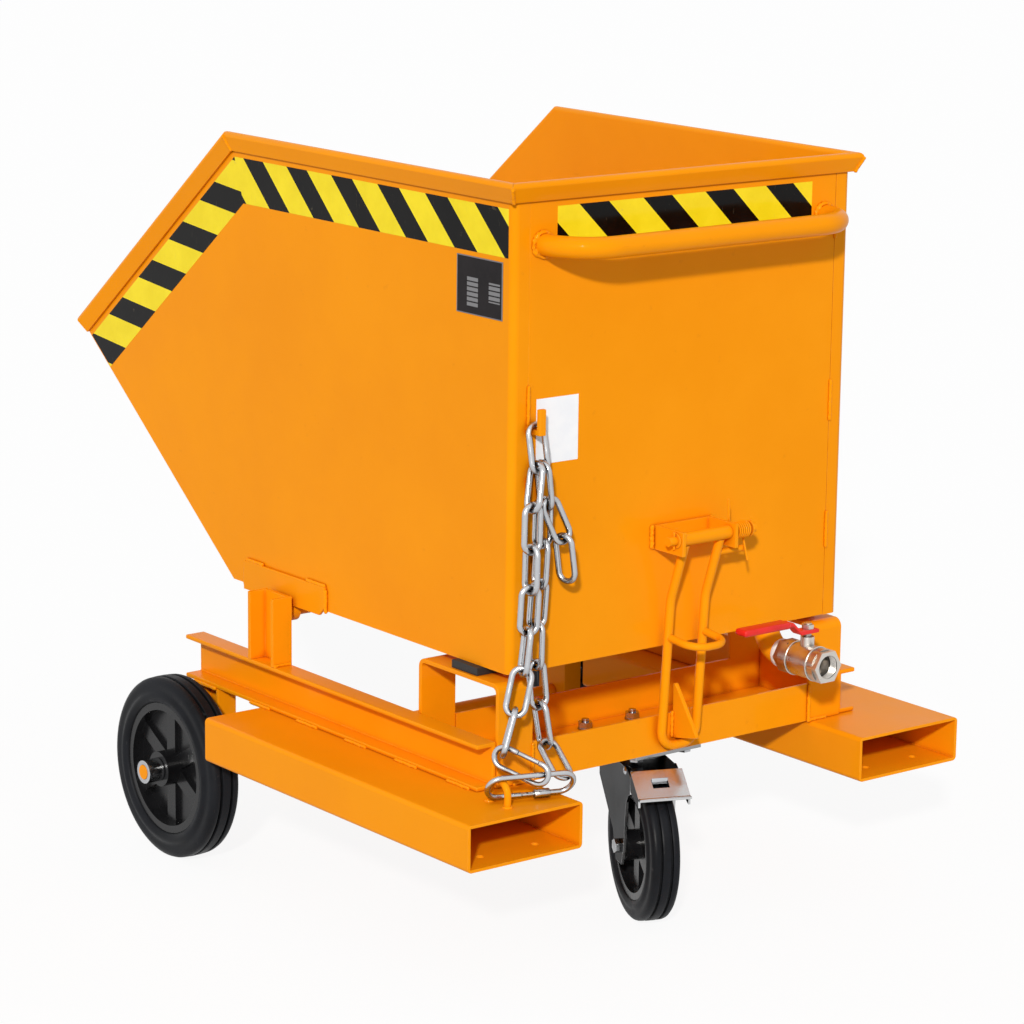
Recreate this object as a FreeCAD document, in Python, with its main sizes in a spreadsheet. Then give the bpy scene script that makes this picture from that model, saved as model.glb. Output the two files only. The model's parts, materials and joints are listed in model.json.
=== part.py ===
"""A tipping skip trolley: a sheet-steel skip that tips forward on a three-wheeled chassis with fork pockets.

Millimetres. +X is the operator's right, +Y points forward to the pouring lip and +Z is up. The origin lies on the
floor under the middle of the whole trolley. Sizes that say rear are distances behind the origin.
"""
import FreeCAD, Part
import Sketcher
import math
import os
import re

from FreeCAD import Placement, Rotation, Vector

# Driving sizes
SIZES = {
    # skip sheets
    "skip_half_width": 275,
    "sheet_wall": 3,
    "skip_rear": 452,
    "skip_bottom": 376,
    "chute_foot": 159,
    "chute_front": 522,
    "chute_top": 659,
    "lip_front": 550,
    "lip_top": 673,
    "rim_bottom": 962,
    "peak_front": 155,
    "edge_front": 528,
    "edge_bottom": 664,
    "rim_flare": 12,
    "rim_height": 25,
    "rim_bend": 6,
    "rim_slot": 1,
    "corner_radius": 10,
    "corner_flange": 25,
    # tipping pivot
    "pivot_front": 31,
    "pivot_height": 360,
    "shaft_radius": 10,
    "bush_wall": 5.7,
    "bush_length": 24,
    "running_gap": 0.3,
    "side_gap": 0.5,
    "strap_front": 128,
    "strap_length": 190,
    "strap_bottom": 369,
    "strap_height": 40,
    "strap_wall": 5,
    "strap_corner": 12,
    # frame channels, posts and axle brackets are cut from one rolled channel
    "channel_height": 60,
    "channel_width": 30,
    "channel_wall": 6,
    "channel_gap": 13,
    "channel_rear": 446,
    "channel_front": 215,
    "post_top": 385,
    "bracket_bottom": 90,
    # fork pockets
    "pocket_inset": 42,
    "pocket_width": 177,
    "pocket_bottom": 172,
    "pocket_height": 60,
    "pocket_wall": 4,
    "pocket_rear": 550,
    "pocket_front": 26,
    "pocket_corner": 6,
    "pocket_hole_radius": 5,
    "pocket_hole_inset": 36,
    "pocket_hole_spacing": 85,
    # rear supports with rubber pads
    "support_rear": 449,
    "support_front": 283,
    "support_top": 365,
    "support_wall": 6,
    "support_bend": 12,
    "pad_width": 40,
    "pad_length": 53,
    "pad_rear": 400,
    "pad_inset": 4,
    # cross member and catch
    "member_rear": 447,
    "member_front": 287,
    "member_height": 51,
    "member_wall": 4,
    "catch_wall": 6,
    "catch_bottom": 249,
    "catch_nose_rear": 493,
    "catch_nose_rise": 9,
    "catch_nose_edge": 4,
    "catch_top": 322,
    # fixed wheels
    "axle_front": 165,
    "axle_radius": 10,
    "axle_reach": 54,
    "wheel_gap": 91,
    "wheel_radius": 125,
    "tyre_width": 50,
    "tyre_inner": 90,
    "rim_wall": 10,
    "rim_breadth": 40,
    "hub_radius": 24,
    "hub_length": 58,
    "spoke_width": 20,
    "spoke_wall": 18,
    "web_wall": 6,
    "groove_depth": 3,
    "groove_width": 4,
    "groove_offset": 8,
    "collar_wall": 6,
    "collar_length": 16,
    "end_collar_length": 24,
    # castor
    "castor_rear": 368,
    "castor_angle": 22,
    "castor_trail": 48,
    "castor_radius": 100,
    "castor_tyre_width": 44,
    "castor_tyre_inner": 72,
    "castor_rim_wall": 9,
    "castor_rim_breadth": 36,
    "castor_hub_radius": 20,
    "castor_hub_length": 56,
    "castor_axle_radius": 6,
    "castor_plate_width": 110,
    "castor_plate_length": 140,
    "castor_plate_wall": 8,
    "castor_bolt_across": 80,
    "castor_bolt_along": 105,
    "bolt_radius": 5,
    "bolt_flats": 17,
    "bolt_head": 6.4,
    "nut_height": 8,
    "washer_radius": 10,
    "washer_wall": 2,
    "bolt_end": 4,
    "fork_half_width": 34,
    "fork_wall": 4,
    "fork_front": 40,
    "fork_crown_wall": 5,
    "fork_crown_height": 207,
    "head_radius": 42,
    "king_pin_radius": 10,
    "pedal_half_width": 35,
    "pedal_wall": 3,
    "pedal_front": 62,
    "pedal_pivot": 70,
    "pedal_pivot_height": 208,
    "pedal_pin_radius": 2.5,
    "pedal_tube_wall": 2,
    "pedal_knee": 94,
    "pedal_reach": 130,
    "pedal_height": 213.5,
    "pedal_drop": 26,
    "pedal_slot": 22,
    "skirt_gap": 2,
    "skirt_drop": 24,
    "skirt_nose": 9,
    # latch
    "latch_rear": 497,
    "latch_height": 525,
    "latch_pin_radius": 6,
    "sleeve_wall": 2.4,
    "ear_half_width": 46,
    "ear_wall": 5,
    "ear_rear": 510,
    "ear_below": 19,
    "ear_above": 12,
    "bail_half_width": 29,
    "bail_radius": 6,
    "bail_knee_rear": 469,
    "bail_knee_drop": 85,
    "bail_foot_rear": 455.5,
    "bail_foot_height": 242,
    "bail_bend": 23,
    "knee_bend": 60,
    "loop_drop": 134,
    "loop_droop": 5,
    "loop_rear": 518,
    "loop_bar_radius": 5,
    "loop_bend": 25,
    "peg_radius": 4,
    "peg_length": 42,
    "peg_drop": 27,
    "coil_radius": 9.5,
    "spring_wire_radius": 1.3,
    "coil_turns": 6,
    "coil_pitch": 3.4,
    "coil_start": 49,
    "spring_leg": 40,
    "spring_leg_angle": 15,
    "latch_pin_end": 84,
    "split_pin_radius": 1.5,
    "split_pin_length": 22,
    # push handle
    "handle_drop": 53,
    "handle_inset": 45,
    "handle_rear": 517,
    "handle_radius": 13.5,
    "handle_bend": 63,
    # drain and ball valve
    "valve_inset": 101,
    "valve_drop": 39,
    "valve_rear": 547,
    "valve_length": 82,
    "valve_flats": 40,
    "valve_flat_length": 16,
    "valve_body_radius": 22,
    "valve_bore_radius": 12.5,
    "socket_radius": 15.5,
    "socket_depth": 13,
    "ball_radius": 16,
    "seal_gap": 0.4,
    "drain_radius": 17,
    "drain_wall": 3.3,
    "drain_neck": 5,
    "drain_rear": 425,
    "stem_radius": 5,
    "neck_radius": 9,
    "neck_height": 33,
    "lever_height": 38,
    "lever_rise": 14,
    "lever_end_gap": 25,
    "lever_width": 18,
    "lever_wall": 5,
    "lever_nut_flats": 14,
    "lever_nut_height": 6,
    # chain, hook, eye and carabiners
    "chain_wire": 7.6,
    "chain_pitch": 51.5,
    "chain_width": 31.6,
    "chain_gap": 0.5,
    "chain_lean": 12,
    "hook_inset": 30,
    "hook_width": 10,
    "hook_bar": 6.5,
    "hook_rear": 476,
    "hook_bottom": 678,
    "hook_top": 711,
    "eye_outset": 50,
    "eye_rear": 500,
    "eye_spread": 35,
    "eye_rise": 31,
    "eye_bar_radius": 4.5,
    "carabiner_wire": 7,
    "carabiner_gate": 5.8,
    "gate_gap": 1.3,
    "pin_gap": 0.2,
    # tapes and plates
    "tape_wall": 0.3,
    "tape_width": 60,
    "tape_drop": 8,
    "tape_end": 6,
    "rear_tape_length": 416,
    "data_plate_wall": 0.8,
    "data_plate_width": 92,
    "data_plate_height": 72,
    "data_plate_rear": 432,
    "data_plate_drop": 146,
    "sticker_wall": 0.3,
    "sticker_width": 66,
    "sticker_height": 82,
    "sticker_inset": 38,
    "sticker_bottom": 637,
}

# Places that follow from other sizes
FOLLOWING = {
    "channel_inner": "skip_half_width + channel_gap",
    "pocket_inner": "skip_half_width - pocket_inset",
    "wheel_track": "skip_half_width + wheel_gap",
    "axle_half_length": "wheel_track + axle_reach",
    "peg_height": "latch_height - peg_drop",
    "ear_bottom": "latch_height - ear_below",
    "ear_top": "latch_height + ear_above",
    "bail_knee_height": "latch_height - bail_knee_drop",
    "loop_height": "latch_height - loop_drop",
    "handle_height": "rim_bottom - handle_drop",
    "handle_half_width": "skip_half_width - handle_inset",
    "data_plate_bottom": "rim_bottom - data_plate_drop",
    "valve_across": "skip_half_width - valve_inset",
    "lever_length": "valve_across - bail_half_width - loop_bar_radius - lever_end_gap",
    "valve_height": "skip_bottom - valve_drop",
    "drain_bend": "valve_drop - drain_neck",
    "hook_across": "skip_half_width - hook_inset",
    "eye_across": "skip_half_width + eye_outset",
    "sticker_left": "skip_half_width - sticker_inset",
}

SPOKES = 6
ALIAS = re.compile(r"\b[a-z]+(?:_[a-z]+)+\b")
SIDES = (("left", -1), ("right", 1))
NORMAL_AXIS = {"YZ": "x", "XZ": "y", "XY": "z"}
TURN = {
    "x": Rotation(Vector(0, 1, 0), 90),
    "y": Rotation(Vector(1, 0, 0), -90),
    "z": Rotation(),
}

doc = FreeCAD.newDocument("tipping_skip_trolley")
sheet = doc.addObject("Spreadsheet::Sheet", "sizes")
cells = {alias: str(value) for alias, value in SIZES.items()}
cells.update((alias, "=" + formula) for alias, formula in FOLLOWING.items())
for row, (alias, text) in enumerate(cells.items(), start=1):
    sheet.set(f"A{row}", alias)
    sheet.set(f"B{row}", text)
    sheet.setAlias(f"B{row}", alias)
doc.recompute()

subparts = []


# Small helpers
def size(alias):
    """The number in a named cell."""
    return float(sheet.get(alias))


def bind(item, prop, text):
    """Ties a property to named cells: every word with an underscore in the text is a cell."""
    item.setExpression(prop, ALIAS.sub(lambda word: "sizes." + word.group(0), text))


def place(item, x="0", y="0", z="0"):
    for axis, text in zip("xyz", (x, y, z)):
        bind(item, f"Placement.Base.{axis}", text)


def keep(item, label):
    """Names a finished sub-part, which is written to a file of that name."""
    item.Label = label
    subparts.append(item)
    return item


def block(lengths, corner):
    """A box from its lowest corner."""
    item = doc.addObject("Part::Box", "block")
    for prop, text in zip(("Length", "Width", "Height"), lengths):
        bind(item, prop, text)
    place(item, *corner)
    return item


def rod(radius, length, start, axis="z"):
    """A round bar from the centre of its first end."""
    item = doc.addObject("Part::Cylinder", "rod")
    item.Placement = Placement(Vector(), TURN[axis])
    bind(item, "Radius", radius)
    bind(item, "Height", length)
    place(item, *start)
    return item


def hexagon(flats, length, start, axis="z"):
    """A hexagonal bar from the centre of its first end, given by its width across flats."""
    item = doc.addObject("Part::Prism", "hexagon")
    item.Polygon = 6
    item.Placement = Placement(Vector(), TURN[axis])
    bind(item, "Circumradius", f"({flats}) / sqrt(3)")
    bind(item, "Height", length)
    place(item, *start)
    return item


def fused(*pieces):
    item = doc.addObject("Part::MultiFuse", "fused")
    item.Shapes = list(pieces)
    item.Refine = True
    return item


def cut(base, *tools):
    item = doc.addObject("Part::Cut", "cut")
    item.Base = base
    item.Tool = tools[0] if len(tools) == 1 else fused(*tools)
    item.Refine = True
    return item


def group(*pieces):
    """Separate solids that share one node."""
    item = doc.addObject("Part::Compound", "group")
    item.Links = list(pieces)
    return item


def shaped(shape):
    """A piece whose shape is worked out from the cells in this script."""
    item = doc.addObject("Part::Feature", "shaped")
    item.Shape = shape
    return item


def outline_sketch(body, plane, outline):
    """A closed outline on one of the body's own planes, with both coordinates of each corner tied to the cells."""
    sketch = body.newObject("Sketcher::SketchObject", "outline")
    support = [f for f in body.Origin.OriginFeatures if f.Role == f"{plane}_Plane"]
    sketch.AttachmentSupport = [(support[0], "")]
    sketch.MapMode = "FlatFace"
    count = len(outline)
    start = [Vector(math.cos(2 * math.pi * i / count), math.sin(2 * math.pi * i / count), 0) for i in range(count)]
    for i in range(count):
        sketch.addGeometry(Part.LineSegment(start[i] * 100, start[(i + 1) % count] * 100), False)
    for i in range(count):
        sketch.addConstraint(Sketcher.Constraint("Coincident", i, 2, (i + 1) % count, 1))
    for i, corner in enumerate(outline):
        for kind, text, first in zip(("DistanceX", "DistanceY"), corner, (start[i].x, start[i].y)):
            index = sketch.addConstraint(Sketcher.Constraint(kind, -1, 1, i, 1, first * 100))
            name = f"{kind}_{i}"
            sketch.renameConstraint(index, name)
            bind(sketch, f"Constraints.{name}", text)
    return sketch


def plate(plane, outline, start, depth):
    """A flat or extruded piece: an outline padded along the plane's normal, towards the positive axis."""
    body = doc.addObject("PartDesign::Body", "plate")
    sketch = outline_sketch(body, plane, outline)
    pad = body.newObject("PartDesign::Pad", "pad")
    pad.Profile = sketch
    pad.Reversed = plane == "XZ"
    bind(pad, "Length", depth)
    bind(body, f"Placement.Base.{NORMAL_AXIS[plane]}", start)
    return body


def round_edges(body, radius, wanted):
    """Rounds the edges of a body that the test picks by their middle."""
    doc.recompute()
    tip = body.Tip
    names = [f"Edge{i}" for i, edge in enumerate(tip.Shape.Edges, start=1) if wanted(edge)]
    fillet = body.newObject("PartDesign::Fillet", "rounding")
    fillet.Base = (tip, names)
    bind(fillet, "Radius", radius)
    return body


def turned(outline):
    """A turned piece: an outline of distance along X and radius, revolved about the X axis."""
    body = doc.addObject("PartDesign::Body", "turned")
    sketch = outline_sketch(body, "XZ", outline)
    turn = body.newObject("PartDesign::Revolution", "turn")
    turn.Profile = sketch
    turn.ReferenceAxis = (sketch, ["H_Axis"])
    turn.Angle = 360
    return body


def bent_bar(points, bar_radius, bends):
    """A round bar along straight runs joined by arcs, one bend radius for each inner point."""
    edges = []
    last = points[0]
    for i, bend in enumerate(bends, start=1):
        back = (points[i - 1] - points[i]).normalize()
        ahead = (points[i + 1] - points[i]).normalize()
        half = back.getAngle(ahead) / 2
        reach = bend / math.tan(half)
        middle = (back + ahead).normalize()
        inner = points[i] + middle * (bend / math.sin(half) - bend)
        first = points[i] + back * reach
        second = points[i] + ahead * reach
        if (first - last).Length > 1e-4:
            edges.append(Part.LineSegment(last, first).toShape())
        edges.append(Part.Arc(first, inner, second).toShape())
        last = second
    if (points[-1] - last).Length > 1e-4:
        edges.append(Part.LineSegment(last, points[-1]).toShape())
    wire = Part.Wire(edges)
    section = Part.Wire(Part.Circle(points[0], points[1] - points[0], bar_radius).toShape())
    return wire.makePipeShell([section], True, False)


# Heights and places that several pieces share
POCKET_TOP = "(pocket_bottom + pocket_height)"
CHANNEL_TOP = f"({POCKET_TOP} + channel_height)"
CHANNEL_TIP = "(channel_inner + channel_width)"
MEMBER_FLOOR = f"({POCKET_TOP} + member_wall)"
BUSH_RADIUS = "(shaft_radius + running_gap + bush_wall)"


def channel_section(side, middle):
    """Corners of the rolled channel in plan, web inward and flanges outward, about a middle line along Y."""
    near = f"({middle} - channel_height / 2)"
    far = f"({middle} + channel_height / 2)"
    web = f"{side} * channel_inner"
    face = f"{side} * (channel_inner + channel_wall)"
    tip = f"{side} * {CHANNEL_TIP}"
    return [
        (web, near), (tip, near), (tip, f"{near} + channel_wall"), (face, f"{near} + channel_wall"),
        (face, f"{far} - channel_wall"), (tip, f"{far} - channel_wall"), (tip, far), (web, far),
    ]


# Frame channels
def frame_channel(word, side):
    middle = f"({POCKET_TOP} + channel_height / 2)"
    length = "channel_front + channel_rear"
    keep(plate("XZ", channel_section(side, middle), "-channel_rear", length), f"frame_channel_{word}")


# Fork pockets: flat tubes with two small drain holes behind the mouth
def fork_pocket(word, side):
    inner = "pocket_inner" if side > 0 else "-(pocket_inner + pocket_width)"
    outer = f"({inner} + pocket_width)"
    length = "pocket_front + pocket_rear"
    shell = plate("XZ", [
        (inner, "pocket_bottom"), (outer, "pocket_bottom"), (outer, POCKET_TOP), (inner, POCKET_TOP),
    ], "-pocket_rear", length)
    round_edges(shell, "pocket_corner", lambda edge: abs(edge.tangentAt(edge.FirstParameter).y) > 0.9)
    bore = block(("pocket_width - 2 * pocket_wall", f"{length} + 2", "pocket_height - 2 * pocket_wall"),
                 (f"{inner} + pocket_wall", "-pocket_rear - 1", "pocket_bottom + pocket_wall"))
    holes = []
    for step in (-1, 1):
        across = f"{inner} + pocket_width / 2 + {step} * pocket_hole_spacing / 2"
        holes.append(rod("pocket_hole_radius", "2 * pocket_wall",
                         (across, "pocket_hole_inset - pocket_rear", "pocket_bottom - pocket_wall / 2")))
    keep(cut(shell, bore, *holes), f"fork_pocket_{word}")


# Pivot posts stand on the channels and carry the tipping shaft in their webs
def pivot_post(word, side):
    post = plate("XY", channel_section(side, "pivot_front"), CHANNEL_TOP, f"post_top - {CHANNEL_TOP}")
    start = "channel_inner - 1" if side > 0 else "-channel_inner - channel_wall - 1"
    hole = rod("shaft_radius", "channel_wall + 2", (start, "pivot_front", "pivot_height"), "x")
    keep(cut(post, hole), f"pivot_post_{word}")


def axle_bracket(word, side):
    hanger = plate("XY", channel_section(side, "axle_front"), "bracket_bottom", f"{POCKET_TOP} - bracket_bottom")
    start = "channel_inner - 1" if side > 0 else "-channel_inner - channel_wall - 1"
    hole = rod("axle_radius", "channel_wall + 2", (start, "axle_front", "wheel_radius"), "x")
    keep(cut(hanger, hole), f"axle_bracket_{word}")


# Rear supports: flat bar bent into an inverted U on the fork pocket
def rear_support(word, side):
    inside = "(support_top - support_wall)"
    bar = plate("YZ", [
        ("-support_rear", POCKET_TOP), ("support_wall - support_rear", POCKET_TOP),
        ("support_wall - support_rear", inside), ("-support_front - support_wall", inside),
        ("-support_front - support_wall", POCKET_TOP), ("-support_front", POCKET_TOP),
        ("-support_front", "support_top"), ("-support_rear", "support_top"),
    ], "pocket_inner" if side > 0 else "-channel_inner", "channel_inner - pocket_inner")

    def along_bar(edge):
        return abs(edge.tangentAt(edge.FirstParameter).x) > 0.9

    top = size("support_top")
    wall = size("support_wall")
    round_edges(bar, "support_bend", lambda e: along_bar(e) and e.CenterOfMass.z > top - wall / 2)
    round_edges(bar, "support_bend - support_wall",
                lambda e: along_bar(e) and abs(e.CenterOfMass.z - top + wall) < 0.01)
    keep(bar, f"rear_support_{word}")


def rubber_pads():
    pads = []
    for side in (-1, 1):
        low = "channel_inner - pad_inset - pad_width" if side > 0 else "pad_inset - channel_inner"
        pads.append(block(("pad_width", "pad_length", "skip_bottom - running_gap - support_top"),
                          (low, "-pad_rear", "support_top")))
    keep(group(*pads), "rubber_pads")


# Cross member: a folded U, open upward, between the supports, drilled for the castor
def castor_crossmember():
    near = "-member_rear"
    far = "-member_front"
    top = f"{POCKET_TOP} + member_height"
    trough = plate("YZ", [
        (near, POCKET_TOP), (far, POCKET_TOP), (far, top), (f"{far} - member_wall", top),
        (f"{far} - member_wall", MEMBER_FLOOR), (f"{near} + member_wall", MEMBER_FLOOR),
        (f"{near} + member_wall", top), (near, top),
    ], "-pocket_inner", "2 * pocket_inner")
    legs = "(support_rear - support_wall)"
    depth = f"{legs} - support_front - support_wall"
    tongues = []
    for start in ("pocket_inner", "-channel_inner"):
        tongues.append(block(("channel_inner - pocket_inner", depth, "member_wall"),
                             (start, f"-{legs}", POCKET_TOP)))
    holes = castor_bolt_rods("bolt_radius", "member_wall + 2", f"{POCKET_TOP} - 1")
    keep(cut(fused(trough, *tongues), *holes), "castor_crossmember")


def castor_bolt_places():
    return [(f"{i} * castor_bolt_across / 2", f"{j} * castor_bolt_along / 2 - castor_rear")
            for i in (-1, 1) for j in (-1, 1)]


def castor_bolt_rods(radius, length, bottom):
    return [rod(radius, length, (x, y, bottom)) for x, y in castor_bolt_places()]


# Catch: an upright triangular plate, whose sloping lower edge holds the latch bail down
def latch_catch():
    nose = "(catch_bottom + catch_nose_rise)"
    keep(plate("YZ", [
        ("-member_rear", "catch_bottom"), ("-member_rear", "catch_top"),
        ("-member_rear - catch_nose_edge", "catch_top"), ("-catch_nose_rear", f"{nose} + catch_nose_edge"),
        ("-catch_nose_rear", nose),
    ], "-catch_wall / 2", "catch_wall"), "latch_catch")


# Axle, collars and tipping shaft
def axle_and_shaft():
    keep(rod("axle_radius", "2 * axle_half_length", ("-axle_half_length", "axle_front", "wheel_radius"), "x"),
         "wheel_axle")
    reach = "(channel_inner + channel_wall)"
    keep(rod("shaft_radius", f"2 * {reach}", (f"-{reach}", "pivot_front", "pivot_height"), "x"), "tipping_shaft")
    collars = []
    face = "(wheel_track + hub_length / 2 + side_gap)"
    back = "(wheel_track - hub_length / 2 - side_gap)"
    for low, length in ((face, "end_collar_length"), (f"{back} - collar_length", "collar_length"),
                        (f"-{face} - end_collar_length", "end_collar_length"), (f"-{back}", "collar_length")):
        start = (low, "axle_front", "wheel_radius")
        collars.append(cut(rod("axle_radius + collar_wall", length, start, "x"),
                           rod("axle_radius", length, start, "x")))
    keep(group(*collars), "axle_collars")


# Wheels: rubber tyre on a spoked plastic rim, the tyre's section in shares of its width
CROWN_SHARE = 0.32
SHOULDER_SHARE = 0.09
SHOULDER_REACH = 0.9
FLANK_SHARE = 0.34
BEAD_SHARE = 0.12


def tyre(radius, width, inner):
    half = f"({width} / 2)"
    left = "(groove_offset - groove_width / 2)"
    right = "(groove_offset + groove_width / 2)"
    floor = f"({radius} - groove_depth)"
    crown = f"({width} * {CROWN_SHARE})"
    edge = f"({half} * {SHOULDER_REACH})"
    shoulder = f"({radius} - {width} * {SHOULDER_SHARE})"
    flank = f"({radius} - {width} * {FLANK_SHARE})"
    bead = f"({inner} + {width} * {BEAD_SHARE})"
    return turned([
        (f"-{half} + groove_width", inner), (f"{half} - groove_width", inner), (half, bead), (half, flank),
        (edge, shoulder), (crown, radius), (right, radius), (right, floor), (left, floor),
        (left, radius), (f"-{left}", radius), (f"-{left}", floor), (f"-{right}", floor), (f"-{right}", radius),
        (f"-{crown}", radius), (f"-{edge}", shoulder), (f"-{half}", flank), (f"-{half}", bead),
    ])


def spoked_rim(outer, wall, breadth, hub_radius, hub_length, bore, web=False):
    ring = cut(rod(outer, breadth, (f"-{breadth} / 2", "0", "0"), "x"),
               rod(f"{outer} - {wall}", f"{breadth} + 2", (f"-{breadth} / 2 - 1", "0", "0"), "x"))
    hub = rod(hub_radius, hub_length, (f"-{hub_length} / 2", "0", "0"), "x")
    spokes = []
    for i in range(SPOKES):
        spoke = block(("spoke_wall", "spoke_width", f"{outer} - {wall} / 2"), ("0", "0", "0"))
        turn = Rotation(Vector(1, 0, 0), 360 * i / SPOKES)
        spoke.Placement = Placement(Vector(), turn)
        shift = turn.multVec(Vector(0, -0.5, 0))
        place(spoke, "-spoke_wall / 2", f"spoke_width * {shift.y:.6f}", f"spoke_width * {shift.z:.6f}")
        spokes.append(spoke)
    if web:
        spokes.append(rod(f"{outer} - {wall} / 2", "web_wall", ("-web_wall / 2", "0", "0"), "x"))
    hole = rod(bore, f"{hub_length} + 2", (f"-{hub_length} / 2 - 1", "0", "0"), "x")
    return cut(fused(ring, hub, *spokes), hole)


def fixed_wheel(word, side):
    middle = (f"{side} * wheel_track", "axle_front", "wheel_radius")
    rubber = tyre("wheel_radius", "tyre_width", "tyre_inner")
    place(rubber, *middle)
    keep(rubber, f"tyre_{word}")
    rim = spoked_rim("tyre_inner", "rim_wall", "rim_breadth", "hub_radius", "hub_length",
                     "axle_radius + running_gap", web=True)
    place(rim, *middle)
    keep(rim, f"rim_{word}")


# Castor: built facing straight ahead about its swivel axis, then turned on it
def swivel(item):
    item.Placement = Placement(Vector(), Rotation(Vector(0, 0, -1), size("castor_angle")))
    bind(item, "Placement.Rotation.Angle", "castor_angle")
    place(item, "0", "-castor_rear", "0")
    return item


def castor_mounting():
    low = f"({POCKET_TOP} - castor_plate_wall)"
    top_plate = block(("castor_plate_width", "castor_plate_length", "castor_plate_wall"),
                      ("-castor_plate_width / 2", "-castor_rear - castor_plate_length / 2", low))
    holes = castor_bolt_rods("bolt_radius", "castor_plate_wall + 2", f"{low} - 1")
    centre = rod("king_pin_radius + running_gap", "castor_plate_wall + 2", ("0", "-castor_rear", f"{low} - 1"))
    keep(cut(top_plate, centre, *holes), "castor_top_plate")
    bolts = []
    nuts = []
    seat = f"({MEMBER_FLOOR} + washer_wall)"
    for x, y in castor_bolt_places():
        shank = rod("bolt_radius", f"{seat} + nut_height + bolt_end - {low}", (x, y, low))
        head = hexagon("bolt_flats", "bolt_head", (x, y, f"{low} - bolt_head"))
        bolts.append(fused(shank, head))
        washer = rod("washer_radius", "washer_wall", (x, y, MEMBER_FLOOR))
        nut = hexagon("bolt_flats", "nut_height", (x, y, seat))
        core = rod("bolt_radius", "washer_wall + nut_height", (x, y, MEMBER_FLOOR))
        nuts.append(cut(fused(washer, nut), core))
    keep(group(*bolts), "castor_bolts")
    keep(group(*nuts), "castor_nuts")


# Outline of a fork cheek: half widths about the wheel axle, and drops below the crown
FORK_WAIST = 26
FORK_CHEEK = 20
FORK_TIP = 12
FORK_TIP_DROP = 22
FORK_WAIST_RISE = 16
FRONT_EDGE_DROP = 40
HOOD_ROOT_DROP = 48
HOOD_BEND = 36
HOOD_BEND_DROP = 34
HOOD_FOOT_DROP = 30
HOOD_BROW = 8
HOOD_GAP = 2


def castor_fork():
    axle = "castor_trail"
    crown_top = "(fork_crown_height + fork_crown_wall)"
    tip = f"(castor_radius - {FORK_TIP_DROP})"
    hood = f"{HOOD_GAP} - pedal_knee"
    cheeks = []
    for start in ("-fork_half_width", "fork_half_width - fork_wall"):
        cheeks.append(plate("YZ", [
            ("fork_front", crown_top), ("fork_front", f"{crown_top} - {FRONT_EDGE_DROP}"),
            (f"{FORK_WAIST} - {axle}", f"castor_radius + {FORK_WAIST_RISE}"),
            (f"{FORK_CHEEK} - {axle}", "castor_radius"), (f"{FORK_TIP} - {axle}", tip),
            (f"-{FORK_TIP} - {axle}", tip), (f"-{FORK_CHEEK} - {axle}", "castor_radius"),
            (f"-{FORK_WAIST} - {axle}", f"{crown_top} - {HOOD_ROOT_DROP}"),
            (f"-{HOOD_BEND} - {axle}", f"{crown_top} - {HOOD_BEND_DROP}"),
            (hood, f"{crown_top} - {HOOD_FOOT_DROP}"), (hood, f"{crown_top} - {HOOD_BROW}"),
            (f"-pedal_pivot - {HOOD_BROW}", crown_top),
        ], start, "fork_wall"))
    crown = block(("2 * fork_half_width", f"fork_front + {axle} + {FORK_TIP}", "fork_crown_wall"),
                  ("-fork_half_width", f"-{axle} - {FORK_TIP}", "fork_crown_height"))
    head = rod("head_radius", f"{POCKET_TOP} - castor_plate_wall - running_gap - {crown_top}",
               ("0", "0", crown_top))
    pin = rod("king_pin_radius", f"{POCKET_TOP} - 1 - fork_crown_height", ("0", "0", "fork_crown_height"))
    hole = rod("castor_axle_radius", "2 * fork_half_width + 2", ("-fork_half_width - 1", f"-{axle}", "castor_radius"),
               "x")
    hinge = rod("pedal_pin_radius", "2 * fork_half_width", ("-fork_half_width", "-pedal_pivot", "pedal_pivot_height"),
                "x")
    keep(swivel(cut(fused(crown, head, pin, hinge, *cheeks), hole)), "castor_fork")
    start = "(-fork_half_width - bolt_head)"
    bolt = fused(
        rod("castor_axle_radius", "2 * fork_half_width + bolt_head + nut_height + bolt_end",
            (start, f"-{axle}", "castor_radius"), "x"),
        hexagon("bolt_flats", "bolt_head", (start, f"-{axle}", "castor_radius"), "x"),
        hexagon("bolt_flats", "nut_height", ("fork_half_width", f"-{axle}", "castor_radius"), "x"))
    keep(swivel(bolt), "castor_axle_bolt")


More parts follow.
